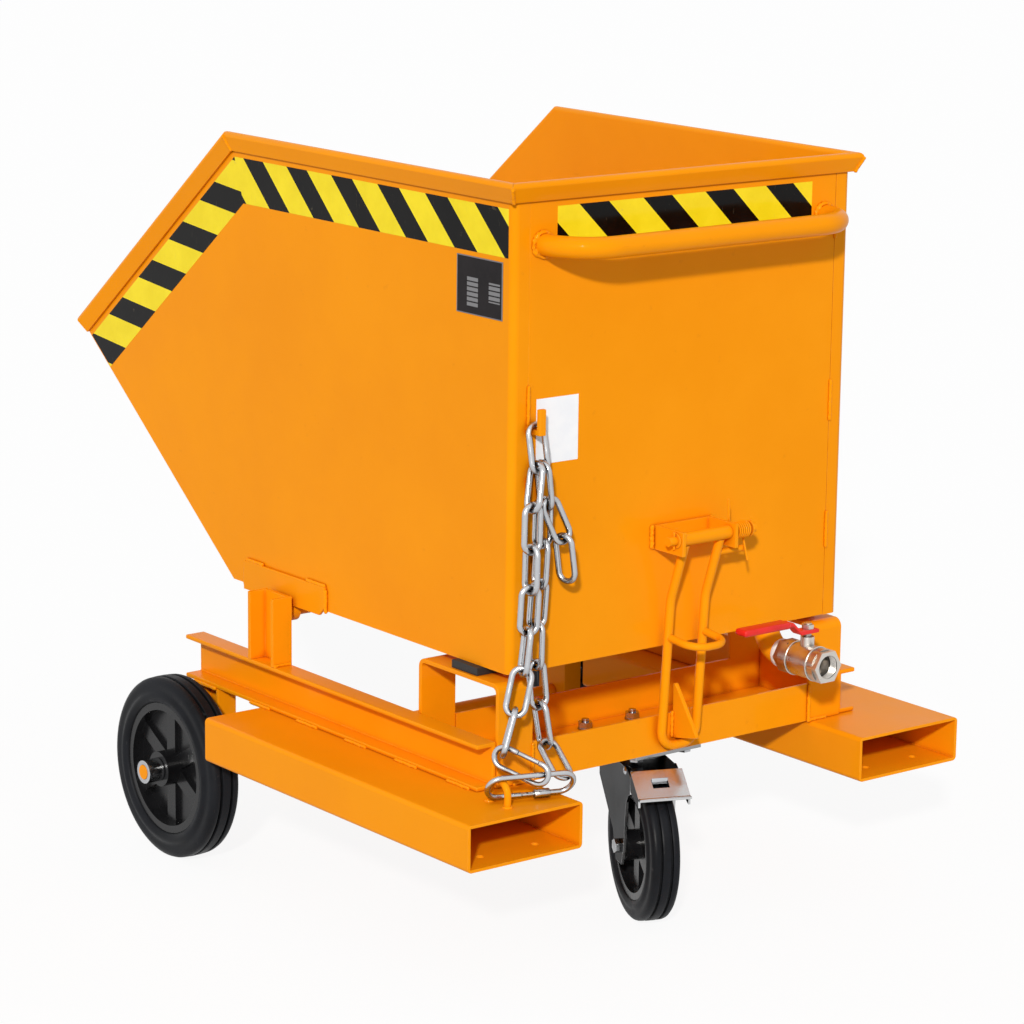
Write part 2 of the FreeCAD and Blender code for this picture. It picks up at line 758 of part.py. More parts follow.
def castor_pedal():
    top = "pedal_height"
    low = "(pedal_height - pedal_wall)"
    inside = "(fork_half_width - fork_wall - side_gap)"
    root = plate("YZ", [("-pedal_front", low), ("-pedal_front", top), ("-pedal_knee", top), ("-pedal_knee", low)],
                 f"-{inside}", f"2 * {inside}")
    tread = plate("YZ", [
        ("-pedal_knee", low), ("-pedal_knee", top), ("-pedal_reach", f"{top} - pedal_drop"),
        ("-pedal_reach - 6", f"{top} - pedal_drop"), ("-pedal_reach - 6", f"{low} - pedal_drop"),
        ("-pedal_reach", f"{low} - pedal_drop"),
    ], "-pedal_half_width", "2 * pedal_half_width")
    skirts = [plate("YZ", [
        ("-pedal_knee - skirt_gap", low), ("-pedal_reach", f"{low} - pedal_drop"),
        ("-pedal_reach", f"{low} - pedal_drop - skirt_nose"), ("-pedal_knee - skirt_gap", f"{low} - skirt_drop"),
    ], edge, "pedal_wall") for edge in ("-pedal_half_width", "pedal_half_width - pedal_wall")]
    start = (f"-{inside}", "-pedal_pivot", "pedal_pivot_height")
    tube = rod("pedal_pin_radius + running_gap + pedal_tube_wall", f"2 * {inside}", start, "x")
    bore = rod("pedal_pin_radius + running_gap", f"2 * {inside}", start, "x")
    middle = "(pedal_knee + pedal_reach) / 2"
    slot = block(("pedal_slot", "pedal_slot / 2", "pedal_drop * 2"),
                 ("-pedal_slot / 2", f"-{middle} - pedal_slot / 4", f"{low} - pedal_drop"))
    keep(swivel(cut(fused(root, tread, tube, *skirts), slot, bore)), "castor_brake_pedal")


def castor_wheel():
    rubber = tyre("castor_radius", "castor_tyre_width", "castor_tyre_inner")
    rim = spoked_rim("castor_tyre_inner", "castor_rim_wall", "castor_rim_breadth", "castor_hub_radius",
                     "castor_hub_length", "castor_axle_radius + running_gap")
    for item, label in ((rubber, "castor_tyre"), (rim, "castor_rim")):
        swivel(item)
        place(item, "-castor_trail * sin(castor_angle * 1 deg)",
              "-castor_rear - castor_trail * cos(castor_angle * 1 deg)", "castor_radius")
        keep(item, label)


# Skip sheets
def strip(section, start, along, outward, up, planes):
    """A folded strip between two mitre planes: each corner of its section runs along the strip to both planes."""
    wires = []
    for point, normal in planes:
        corners = []
        for u, v in section:
            line = start + outward * u + up * v
            corners.append(line + along * (normal.dot(point - line) / normal.dot(along)))
        wires.append(Part.makePolygon(corners + corners[:1]))
    return Part.makeLoft(wires, True, True)


def rim_section():
    """The folded hem: up the inside, over two rounded bends and down to a narrow slot beside the wall."""
    wall = size("sheet_wall")
    flare = size("rim_flare")
    height = size("rim_height")
    bend = size("rim_bend")
    foot = size("rim_slot")
    turns = [math.radians(angle) for angle in (0, 30, 60, 90)]

    def rising(radius):
        return [(bend - wall - radius * math.cos(turn), height - bend + radius * math.sin(turn)) for turn in turns]

    def falling(radius):
        return [(flare - bend + radius * math.sin(turn), height - bend + radius * math.cos(turn)) for turn in turns]

    inside = rising(bend - wall) + falling(bend - wall)
    return [(-wall, 0), *rising(bend), *falling(bend), (foot + wall, 0), (foot, 0), *reversed(inside), (0, 0)]


def corner_fold(side):
    """The quarter-round fold of a side sheet round the rear corner."""
    height = "rim_bottom - skip_bottom"
    centre = (f"{side} * (skip_half_width - corner_radius)", "corner_radius - skip_rear", "skip_bottom")
    outer = rod("corner_radius", height, centre)
    inner = rod("corner_radius - sheet_wall", height, centre)
    for quarter in (outer, inner):
        quarter.Angle = 90
        quarter.Placement = Placement(quarter.Placement.Base, Rotation(Vector(0, 0, 1), -90 if side > 0 else 180))
    return cut(outer, inner)


def skip_side(word, side, floor):
    front = "edge_front"
    panel = plate("YZ", [
        ("corner_radius - skip_rear", "skip_bottom"), ("chute_foot", "skip_bottom"), ("chute_front", "chute_top"),
        (front, "edge_bottom"), ("peak_front", "rim_bottom"), ("corner_radius - skip_rear", "rim_bottom"),
    ], "skip_half_width - sheet_wall" if side > 0 else "-skip_half_width", "sheet_wall")
    low = "skip_half_width - corner_flange" if side > 0 else "corner_radius - skip_half_width"
    flange = block(("corner_flange - corner_radius", "sheet_wall", "rim_bottom - skip_bottom"),
                   (low, "-skip_rear", "skip_bottom"))
    corner = Vector(side * size("skip_half_width"), -size("skip_rear"), size("rim_bottom"))
    peak = Vector(corner.x, size("peak_front"), corner.z)
    end = Vector(corner.x, size("edge_front"), size("edge_bottom"))
    ahead = Vector(0, 1, 0)
    down = (end - peak).normalize()
    mitre = ahead + down
    outward = Vector(side, 0, 0)
    level = strip(rim_section(), corner, ahead, outward, Vector(0, 0, 1),
                  ((corner, Vector(1, side, 0)), (peak, mitre)))
    slope = strip(rim_section(), peak, down, outward, Vector(0, -down.z, down.y), ((peak, mitre), (end, down)))
    keep(fused(panel, corner_fold(side), flange, shaped(level), cut(shaped(slope), floor)),
         f"skip_side_{word}")


def skip_rear_panel():
    sheet_piece = block(("2 * (skip_half_width - corner_flange)", "sheet_wall", "rim_bottom - skip_bottom"),
                        ("corner_flange - skip_half_width", "-skip_rear", "skip_bottom"))
    left = Vector(-size("skip_half_width"), -size("skip_rear"), size("rim_bottom"))
    right = Vector(-left.x, left.y, left.z)
    rim = strip(rim_section(), left, Vector(1, 0, 0), Vector(0, -1, 0), Vector(0, 0, 1),
                ((left, Vector(1, -1, 0)), (right, Vector(1, 1, 0))))
    keep(fused(sheet_piece, shaped(rim)), "skip_rear_panel")


def skip_floor_chute():
    climb = "atan((chute_top - skip_bottom) / (chute_front - chute_foot))"
    tilt = "atan((lip_top - chute_top) / (lip_front - chute_front))"
    mean = f"(({climb} + {tilt}) / 2)"
    bend = f"cos(({climb} - {tilt}) / 2)"
    rear = "sheet_wall - skip_rear"
    folded = plate("YZ", [
        (rear, "skip_bottom"), ("chute_foot", "skip_bottom"), ("chute_front", "chute_top"),
        ("lip_front", "lip_top"),
        (f"lip_front - sheet_wall * sin({tilt})", f"lip_top + sheet_wall * cos({tilt})"),
        (f"chute_front - sheet_wall * sin({mean}) / {bend}", f"chute_top + sheet_wall * cos({mean}) / {bend}"),
        (f"chute_foot - sheet_wall * tan({climb} / 2)", "skip_bottom + sheet_wall"),
        (rear, "skip_bottom + sheet_wall"),
    ], "sheet_wall - skip_half_width", "2 * (skip_half_width - sheet_wall)")
    drain = rod("drain_radius - drain_wall", "sheet_wall + 2", ("valve_across", "-drain_rear", "skip_bottom - 1"))
    return keep(cut(folded, drain, corner_fold(-1), corner_fold(1)), "skip_floor_chute")


# Pivot straps stiffen the sheet above the bushes, which turn on the tipping shaft
def pivot_strap(word, side):
    rear = "(strap_front - strap_length)"
    top = "strap_bottom + strap_height"
    body = plate("YZ", [
        (f"{rear} + strap_corner", "strap_bottom"), ("strap_front", "strap_bottom"), ("strap_front", top),
        (rear, top), (rear, "strap_bottom + strap_corner"),
    ], "skip_half_width" if side > 0 else "-skip_half_width - strap_wall", "strap_wall")
    outside = "(channel_inner - side_gap)"
    low = f"{outside} - bush_length" if side > 0 else f"-{outside}"
    start = (low, "pivot_front", "pivot_height")
    keep(cut(body, rod(BUSH_RADIUS, "bush_length", start, "x")), f"pivot_strap_{word}")
    keep(cut(rod(BUSH_RADIUS, "bush_length", start, "x"),
             rod("shaft_radius + running_gap", "bush_length", start, "x")), f"pivot_bush_{word}")


def push_handle():
    half = size("handle_half_width")
    height = size("handle_height")
    face = -size("skip_rear")
    back = -size("handle_rear")
    points = [Vector(-half, face, height), Vector(-half, back, height), Vector(half, back, height),
              Vector(half, face, height)]
    keep(shaped(bent_bar(points, size("handle_radius"), [size("handle_bend")] * 2)), "push_handle")


# Latch: a bracket with two ears on the rear sheet, and a sprung bail that hooks under the catch
def latch_bracket():
    inner = "(ear_half_width - ear_wall)"
    back = "(-skip_rear - ear_wall)"
    holes = rod("latch_pin_radius", "2 * ear_half_width + 2", ("-ear_half_width - 1", "-latch_rear", "latch_height"),
                "x")
    channel = plate("XY", [
        ("-ear_half_width", "-skip_rear"), ("-ear_half_width", "-ear_rear"), (f"-{inner}", "-ear_rear"),
        (f"-{inner}", back), (inner, back), (inner, "-ear_rear"), ("ear_half_width", "-ear_rear"),
        ("ear_half_width", "-skip_rear"),
    ], "ear_bottom", "ear_top - ear_bottom")
    keep(cut(channel, holes), "latch_bracket")
    start = "(-ear_half_width - 14)"
    keep(rod("latch_pin_radius", f"latch_pin_end - {start}", (start, "-latch_rear", "latch_height"), "x"),
         "latch_pin")
    coil_end = "(coil_start + coil_turns * coil_pitch + 4 * spring_wire_radius)"
    washers = []
    pins = []
    for low in (coil_end, "-ear_half_width - washer_wall"):
        place_on_pin = (low, "-latch_rear", "latch_height")
        washers.append(cut(rod("washer_radius", "washer_wall", place_on_pin, "x"),
                           rod("latch_pin_radius", "washer_wall", place_on_pin, "x")))
    keep(group(*washers), "latch_washers")
    for across in (f"({coil_end} + washer_wall + split_pin_radius)",
                   "(-ear_half_width - washer_wall - split_pin_radius)"):
        for step in (-1, 1):
            start = "latch_height + latch_pin_radius" if step > 0 else "latch_height - split_pin_length / 2"
            pins.append(rod("split_pin_radius", "split_pin_length / 2 - latch_pin_radius",
                            (across, "-latch_rear", start)))
    keep(group(*pins), "split_pins")


def bail_rear(height):
    """How far behind the origin the lower run of the bail lies at a height."""
    span = size("bail_knee_height") - size("bail_foot_height")
    lean = (size("bail_knee_rear") - size("bail_foot_rear")) / span
    return size("bail_foot_rear") + lean * (height - size("bail_foot_height"))


def latch_bail():
    sleeve = "(latch_pin_radius + running_gap + sleeve_wall)"
    inside = "(ear_half_width - ear_wall - side_gap)"
    start = (f"-{inside}", "-latch_rear", "latch_height")
    keep(cut(rod(sleeve, f"2 * {inside}", start, "x"),
             rod("latch_pin_radius + running_gap", f"2 * {inside}", start, "x")), "latch_sleeve")
    half = size("bail_half_width")
    knee = Vector(0, -size("bail_knee_rear"), size("bail_knee_height"))
    axis = Vector(0, -size("latch_rear"), size("latch_height"))
    foot = Vector(0, -size("bail_foot_rear"), size("bail_foot_height"))
    reach = size("latch_pin_radius") + size("running_gap") + size("sleeve_wall")
    top = axis + (knee - axis).normalize() * (reach - 1)
    across = Vector(half, 0, 0)
    points = [top - across, knee - across, foot - across, foot + across, knee + across, top + across]
    bend = size("bail_bend")
    knee_bend = size("knee_bend")
    bar = shaped(bent_bar(points, size("bail_radius"), [knee_bend, bend, bend, knee_bend]))
    core = rod(sleeve, f"2 * {inside}", start, "x")
    peg_rear = size("latch_rear") + (size("bail_knee_rear") - size("latch_rear")) * (
        size("latch_height") - size("peg_height")) / (size("latch_height") - size("bail_knee_height"))
    peg = shaped(Part.makeCylinder(size("peg_radius"), size("peg_length"),
                                   Vector(half + size("bail_radius") / 2, -peg_rear, size("peg_height")),
                                   Vector(1, 0, 0)))
    keep(cut(fused(bar, peg), core), "latch_bail")
    height = size("loop_height")
    droop = height - size("loop_droop")
    root = -bail_rear(height)
    back = -size("loop_rear")
    loop = [Vector(-half, root, height), Vector(-half, back, droop), Vector(half, back, droop),
            Vector(half, root, height)]
    keep(cut(shaped(bent_bar(loop, size("loop_bar_radius"), [size("loop_bend")] * 2)), bar), "latch_pull_loop")


def arc_from(start, tangent, end):
    """The arc that leaves start along the tangent and reaches end."""
    chord = end - start
    along = chord.dot(tangent) / chord.Length
    side = (tangent - chord * (along / chord.Length)).normalize()
    bulge = chord.Length / 2 * math.tan(math.acos(max(-1, min(1, along))) / 2)
    return Part.Arc(start, (start + end) * 0.5 + side * bulge, end).toShape()


def biarc(start, first, end, last):
    """Two arcs that join smoothly and take one end with its direction to the other."""
    chord = end - start
    both = first + last
    turn = 2 * (1 - first.dot(last))
    slant = chord.dot(both)
    reach = (math.sqrt(slant * slant + turn * chord.dot(chord)) - slant) / turn
    middle = (start + end + (first - last) * reach) * 0.5
    ahead = (middle - start - first * reach).normalize()
    return [arc_from(start, first, middle), arc_from(middle, ahead, end)]


def latch_spring():
    """One unbroken wire: an upright leg, the coil round the pin and a lower leg behind the peg."""
    radius = size("coil_radius")
    pitch = size("coil_pitch")
    thickness = 2 * size("spring_wire_radius")
    turns = int(round(size("coil_turns")))
    leg = size("spring_leg")
    centre = Vector(size("coil_start") + thickness / 2, -size("latch_rear"), size("latch_height"))

    def at(angle):
        return centre + Vector(pitch * angle / (2 * math.pi), radius * math.cos(angle), -radius * math.sin(angle))

    def heading(angle):
        return Vector(pitch / (2 * math.pi), -radius * math.sin(angle), -radius * math.cos(angle)).normalize()

    end = 2 * math.pi * turns + math.radians(size("spring_leg_angle"))
    steps = 4 * turns
    angles = [end * i / steps for i in range(steps + 1)]
    top = at(0) - heading(0) * leg
    edges = [Part.LineSegment(top, at(0)).toShape()]
    for a, b in zip(angles, angles[1:]):
        edges += biarc(at(a), heading(a), at(b), heading(b))
    edges.append(Part.LineSegment(at(end), at(end) + heading(end) * leg).toShape())
    wire = Part.Wire(edges)
    points = wire.discretize(Number=500)
    apart = int(math.pi * radius / (wire.Length / 500))
    pairs = [(p - q).Length for i, p in enumerate(points) for q in points[i + apart:]]
    print(f"latch spring: {turns} turns, least gap to itself {min(pairs) - thickness:.2f} mm")
    section = Part.Wire(Part.Circle(top, heading(0), thickness / 2).toShape())
    keep(shaped(wire.makePipeShell([section], True, False)), "latch_spring")


# Drain elbow and ball valve with a quarter-turn lever, shut at rest
STEM_REAR = "(valve_rear - valve_length / 2)"


def drain_pipe():
    bend = size("drain_bend")
    across = size("valve_across")
    height = size("valve_height")
    corner = Vector(across, -size("drain_rear"), height)
    points = [Vector(across, corner.y, size("skip_bottom")), corner,
              Vector(across, size("valve_length") - size("valve_rear"), height)]
    outer = bent_bar(points, size("drain_radius"), [bend])
    inner = bent_bar(points, size("drain_radius") - size("drain_wall"), [bend])
    keep(shaped(outer.cut(inner)), "drain_pipe")


def valve():
    axis = ("valve_across", "-valve_rear", "valve_height")
    inlet = ("valve_across", "valve_length - valve_flat_length - valve_rear", "valve_height")
    stem = ("valve_across", f"-{STEM_REAR}", "valve_height")
    body = fused(
        hexagon("valve_flats", "valve_flat_length", axis, "y"),
        hexagon("valve_flats", "valve_flat_length", inlet, "y"),
        rod("valve_body_radius", "valve_length - valve_flat_length", ("valve_across",
            "valve_flat_length / 2 - valve_rear", "valve_height"), "y"),
        rod("neck_radius", "neck_height", stem))
    cavity = doc.addObject("Part::Sphere", "cavity")
    bind(cavity, "Radius", "ball_radius + seal_gap")
    place(cavity, *stem)
    keep(cut(body, cavity, rod("valve_bore_radius", "valve_length", axis, "y"),
             rod("socket_radius", "socket_depth", axis, "y"),
             rod("stem_radius + running_gap", "neck_height + 1", stem)), "valve_body")
    ball = doc.addObject("Part::Sphere", "ball")
    bind(ball, "Radius", "ball_radius")
    place(ball, *stem)
    passage = rod("valve_bore_radius", "2 * ball_radius + 2",
                  ("valve_across - ball_radius - 1", f"-{STEM_REAR}", "valve_height"), "x")
    lever_low = "(valve_height + lever_height)"
    top = f"({lever_low} + lever_wall)"
    shank_low = "(valve_height + ball_radius - 2)"
    shank = rod("stem_radius", f"{top} + lever_nut_height + 2 - {shank_low}",
                ("valve_across", f"-{STEM_REAR}", shank_low))
    nut = hexagon("lever_nut_flats", "lever_nut_height", ("valve_across", f"-{STEM_REAR}", top))
    keep(fused(cut(ball, passage), shank, nut), "valve_stem")
    left = "valve_across - lever_length"
    bar = plate("XZ", [
        ("valve_across + lever_width * 0.7", lever_low), ("valve_across + lever_width * 0.7", top),
        ("valve_across - lever_width", top), ("valve_across - lever_width - lever_rise", f"{top} + lever_rise"),
        (left, f"{top} + lever_rise"), (left, f"{lever_low} + lever_rise"),
        ("valve_across - lever_width - lever_rise", f"{lever_low} + lever_rise"),
        ("valve_across - lever_width", lever_low),
    ], f"-{STEM_REAR} - lever_width / 2", "lever_width")
    keep(cut(bar, rod("stem_radius", "lever_wall + 2", ("valve_across", f"-{STEM_REAR}", f"{lever_low} - 1"))),
         "valve_lever")


# Chain hook, chain, lashing eye and carabiners
def chain_hook():
    back = "(hook_bar - hook_rear)"
    floor = "(hook_bottom + hook_bar)"
    keep(plate("YZ", [
        ("-skip_rear", "hook_bottom"), ("-hook_rear", "hook_bottom"), ("-hook_rear", "hook_top"),
        (back, "hook_top"), (back, floor), ("-skip_rear", floor),
    ], "-hook_across - hook_width / 2", "hook_width"), "chain_hook")


def stadium(first, last, across, bend):
    """Two half circles and the two straight sides between them, as edges in order round the loop."""
    along = (last - first).normalize()
    side = (across - along * across.dot(along)).normalize() * bend
    near = first + along * bend
    far = last - along * bend
    return [
        Part.Arc(near + side, first, near - side).toShape(), Part.LineSegment(near - side, far - side).toShape(),
        Part.Arc(far - side, last, far + side).toShape(), Part.LineSegment(far + side, near + side).toShape(),
    ]


def link(top, bottom, across):
    radius = size("chain_wire") / 2
    bend = size("chain_width") / 2 - radius
    edges = stadium(top, bottom, across, bend)
    solids = []
    for edge in edges:
        point = edge.valueAt(edge.FirstParameter)
        section = Part.Wire(Part.Circle(point, edge.tangentAt(edge.FirstParameter), radius).toShape())
        solids.append(Part.Wire(edge).makePipeShell([section], True, False))
    return solids[0].fuse(solids[1:]).removeSplitter()


def facing(turn):
    """A level direction, turned by degrees from +X."""
    angle = math.radians(turn)
    return Vector(math.cos(angle), math.sin(angle), 0)


def next_top(top, bottom):
    """Where the next link's upper bend sits in this link's lower bend."""
    return bottom + (top - bottom).normalize() * (size("chain_wire") + size("chain_gap"))


def strand(top, route):
    """Links that hang one in another: each has its lower end beside the hook and behind, and its flat side's turn."""
    length = size("chain_pitch") + size("chain_wire")
    links = []
    for x, y, turn in route:
        level = Vector(x - size("hook_across") - top.x, y - top.y, 0)
        bottom = top + level - Vector(0, 0, math.sqrt(length ** 2 - level.Length ** 2))
        links.append((top, bottom, facing(turn)))
        top = next_top(top, bottom)
    return links


STRAND_LEFT = [
    (-18, -480, 90), (-19, -481, 0), (-20, -481, 90), (-23, -481, -10), (-31, -482, 70), (-46, -484, -38),
    (-64, -486, 52),
]
STRAND_RIGHT_TOP = [(12, -469.5, 90)]
STRAND_RIGHT = [
    (6, -469.5, 0), (2, -470, 90), (-2, -470, 0), (-3, -471, 90), (2, -474, 0), (8, -480, 90),
]
TAIL = [(34, -480, 0), (38, -481, -74)]
EYE_SIDE = Vector(-size("eye_across"), 0, 0)
SHACKLE_START = EYE_SIDE + Vector(-16.8, -498.5, 254)
SHACKLE_END = EYE_SIDE + Vector(89.2, -533.5, 254)
SHACKLE_ACROSS = Vector(0.146, 0.449, -0.881)
SHACKLE_HALF_WIDTH = 16
SHACKLE_GATE = (30, 66)
SNAP_START = EYE_SIDE + Vector(12.65, -475.05, 288.85)
SNAP_END = EYE_SIDE + Vector(47.65, -535.05, 264.85)
SNAP_ACROSS = Vector(0.29, -0.23, 0.93)
SNAP_HALF_WIDTH = 13
SNAP_GATE = (14, 44)


def nested_pair(top, bottom, across):
    """Two links side by side in the lower bend of a third."""
    bend = size("chain_width") / 2 - size("chain_wire") / 2
    nest = bottom + (top - bottom).normalize() * bend
    spread = across * ((bend - size("chain_wire") / 2) / 2)
    return nest - spread, nest + spread


def chain_links():
    half = size("chain_wire") / 2
    bend = size("chain_width") / 2 - half
    inner = bend - half
    seat = size("hook_bottom") + size("hook_bar") + size("running_gap") + bend
    seat -= math.sqrt(inner ** 2 - (size("hook_width") / 2) ** 2)
    top = Vector(-size("hook_across"), -(size("skip_rear") + size("hook_rear") - size("hook_bar")) / 2, seat)
    first = strand(top, [(0, top.y - size("chain_lean"), 0)])
    left_top, right_top = nested_pair(*first[0])
    left = strand(left_top, STRAND_LEFT)
    upper = strand(right_top, STRAND_RIGHT_TOP)
    tail_start, right_start = nested_pair(*upper[0])
    right = strand(right_start, STRAND_RIGHT)
    tail = strand(tail_start, TAIL)
    low_top = next_top(*right[-1][:2])
    rest = (SHACKLE_END - SHACKLE_START).normalize() * (size("carabiner_wire") / 2 + half + size("chain_gap"))
    low_end = low_top + (SHACKLE_END - rest - low_top).normalize() * (size("chain_pitch") + size("chain_wire"))
    last = [(low_top, low_end, facing(0))]
    pieces = [shaped(link(*ends)) for ends in first + left + upper + right + tail + last]
    keep(group(*pieces), "chain_links")


def lashing_eye():
    across = -size("eye_across")
    middle = -size("eye_rear")
    half = size("eye_spread") / 2
    foot = size("pocket_bottom") + size("pocket_height")
    top = foot + size("eye_rise")
    points = [Vector(across, middle - half, foot), Vector(across, middle - half, top),
              Vector(across, middle + half, top), Vector(across, middle + half, foot)]
    bend = half - 0.01
    keep(shaped(bent_bar(points, size("eye_bar_radius"), [bend, bend])), "lashing_eye")


def carabiner(word, first, last, across, half_width, gate_start, gate_end):
    """An oval of bar with one long side left open, and a gate that hinges on a tongue in that side."""
    radius = size("carabiner_wire") / 2
    gap = size("gate_gap")
    along = (last - first).normalize()
    side = (across - along * across.dot(along)).normalize()
    normal = along.cross(side)
    loop = stadium(first, last, across, half_width)
    corner = first + along * half_width + side * half_width
    start = corner + along * gate_start
    end = corner + along * gate_end
    far = last - along * half_width + side * half_width
    edges = [Part.LineSegment(start, corner).toShape(), *loop[:3], Part.LineSegment(far, end).toShape()]
    section = Part.Wire(Part.Circle(start, -along, radius).toShape())
    body = Part.Wire(edges).makePipeShell([section], True, False)
    turn = FreeCAD.Matrix(along.x, side.x, normal.x, start.x, along.y, side.y, normal.y, start.y,
                          along.z, side.z, normal.z, start.z, 0, 0, 0, 1)
    tongue_wall = radius * 0.6
    tongue_length = radius * 2
    pin_place = radius * 1.2
    pin_radius = radius * 0.3
    tongue = Part.makeBox(tongue_length + 1, radius * 1.4, tongue_wall,
                          Vector(-1, -radius * 0.7, -tongue_wall / 2))
    tongue = tongue.cut(Part.makeCylinder(pin_radius + size("pin_gap"), tongue_wall * 2,
                                          Vector(pin_place, 0, -tongue_wall)))
    keep(shaped(body.fuse(tongue.transformGeometry(turn))), f"carabiner_{word}")
    gate_radius = size("carabiner_gate") / 2
    bar = Part.makeCylinder(gate_radius, gate_end - gate_start - 2 * gap, Vector(gap, 0, 0), Vector(1, 0, 0))
    slot_wall = tongue_wall + 2 * size("pin_gap")
    slot = Part.makeBox(tongue_length + 2, radius * 4, slot_wall, Vector(0, -radius * 2, -slot_wall / 2))
    pin = Part.makeCylinder(pin_radius, gate_radius * 1.6, Vector(pin_place, 0, -gate_radius * 0.8))
    keep(shaped(bar.cut(slot).fuse(pin).transformGeometry(turn)), f"carabiner_{word}_gate")
    pivot = start + along * pin_place
    print(f"carabiner {word}: gate pivot {pivot}, axis {-normal}")


# Trim: hazard tapes, a blank data plate and a plain sticker
SLOPE = "atan((rim_bottom - edge_bottom) / (edge_front - peak_front))"
CHUTE = "atan((edge_bottom - skip_bottom) / (edge_front - chute_foot))"


def hazard_tapes():
    near = "tape_drop"
    deep = "(tape_drop + tape_width)"
    tapes = [block(("rear_tape_length", "tape_wall", "tape_width"),
                   ("-rear_tape_length / 2", "-skip_rear - tape_wall", f"rim_bottom - {deep}"))]
    for side in (-1, 1):
        low = "skip_half_width" if side > 0 else "-skip_half_width - tape_wall"
        fold = [(f"peak_front - {k} * tan({SLOPE} / 2)", f"rim_bottom - {k}") for k in (near, deep)]
        ends = [(f"edge_front - tape_end * cos({SLOPE}) - {k} * cos({CHUTE}) / sin({SLOPE} + {CHUTE})",
                 f"edge_bottom + tape_end * sin({SLOPE}) - {k} * sin({CHUTE}) / sin({SLOPE} + {CHUTE})")
                for k in (near, deep)]
        rear = "corner_radius - skip_rear"
        tapes.append(plate("YZ", [(rear, f"rim_bottom - {near}"), (rear, f"rim_bottom - {deep}"),
                                  (f"{fold[1][0]} - 1", fold[1][1]), (f"{fold[0][0]} - 1", fold[0][1])],
                           low, "tape_wall"))
        tapes.append(plate("YZ", [fold[0], fold[1], ends[1], ends[0]], low, "tape_wall"))
    keep(group(*tapes), "hazard_tapes")


def plates():
    keep(block(("data_plate_wall", "data_plate_width", "data_plate_height"),
               ("-skip_half_width - data_plate_wall", "-data_plate_rear", "data_plate_bottom")), "data_plate")
    keep(block(("sticker_width", "sticker_wall", "sticker_height"),
               ("-sticker_left", "-skip_rear - sticker_wall", "sticker_bottom")), "plain_sticker")


# The whole trolley
floor_chute = skip_floor_chute()
for word, side in SIDES:
    frame_channel(word, side)
    fork_pocket(word, side)
    pivot_post(word, side)
    axle_bracket(word, side)
    rear_support(word, side)
    fixed_wheel(word, side)
    skip_side(word, side, floor_chute)
    pivot_strap(word, side)
rubber_pads()
castor_crossmember()
latch_catch()
axle_and_shaft()
castor_mounting()
castor_fork()
castor_pedal()
castor_wheel()
skip_rear_panel()
push_handle()
latch_bracket()
latch_bail()
latch_spring()
drain_pipe()
valve()
chain_hook()
chain_links()
lashing_eye()
carabiner("left", SNAP_START, SNAP_END, SNAP_ACROSS, SNAP_HALF_WIDTH, *SNAP_GATE)
carabiner("right", SHACKLE_START, SHACKLE_END, SHACKLE_ACROSS, SHACKLE_HALF_WIDTH, *SHACKLE_GATE)
hazard_tapes()
plates()
doc.recompute()

# Checks and files
os.makedirs("parts", exist_ok=True)
for item in doc.Objects:
    if "Invalid" in item.State or "Error" in item.State:
        raise RuntimeError(f"{item.Name} did not recompute: {item.State}")
for item in subparts:
    shape = item.Shape
    if shape.isNull() or not shape.isValid() or not shape.Solids:
        raise RuntimeError(f"{item.Label} has no valid solid")
    shape.exportStep(f"parts/{item.Label}.step")
print(f"{len(subparts)} sub-parts written")
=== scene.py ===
import json
import math
import bmesh
import bpy
from mathutils import Matrix, Vector

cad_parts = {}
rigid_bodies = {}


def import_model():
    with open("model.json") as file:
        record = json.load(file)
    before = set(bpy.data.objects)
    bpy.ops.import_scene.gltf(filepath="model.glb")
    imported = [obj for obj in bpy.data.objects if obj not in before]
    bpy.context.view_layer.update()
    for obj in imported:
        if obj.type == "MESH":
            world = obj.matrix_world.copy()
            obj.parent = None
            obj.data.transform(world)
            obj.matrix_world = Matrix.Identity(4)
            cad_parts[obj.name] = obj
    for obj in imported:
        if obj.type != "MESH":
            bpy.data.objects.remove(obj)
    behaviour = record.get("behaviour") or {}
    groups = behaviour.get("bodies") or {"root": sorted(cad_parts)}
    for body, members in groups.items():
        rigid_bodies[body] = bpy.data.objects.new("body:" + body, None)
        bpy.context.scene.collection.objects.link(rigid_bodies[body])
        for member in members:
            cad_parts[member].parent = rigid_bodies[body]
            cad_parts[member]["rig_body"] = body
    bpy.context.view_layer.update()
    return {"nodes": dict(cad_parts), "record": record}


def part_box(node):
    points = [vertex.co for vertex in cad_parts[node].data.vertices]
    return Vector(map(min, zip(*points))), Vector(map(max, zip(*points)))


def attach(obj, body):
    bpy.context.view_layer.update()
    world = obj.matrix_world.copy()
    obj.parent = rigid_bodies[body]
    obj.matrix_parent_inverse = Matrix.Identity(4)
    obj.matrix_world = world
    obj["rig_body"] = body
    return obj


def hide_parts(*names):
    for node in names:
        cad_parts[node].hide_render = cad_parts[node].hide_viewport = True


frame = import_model()
nodes = frame["nodes"]
slot_of = {part["node"]: part["material_slot"] for part in frame["record"]["subparts"]}

MM = 0.001
RIGHT = Vector((1, 0, 0))
FORWARD = Vector((0, 1, 0))
UP = Vector((0, 0, 1))
BACKWARD = -FORWARD
DOWN = -UP


def middle_of(node_name):
    low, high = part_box(node_name)
    return (low + high) / 2


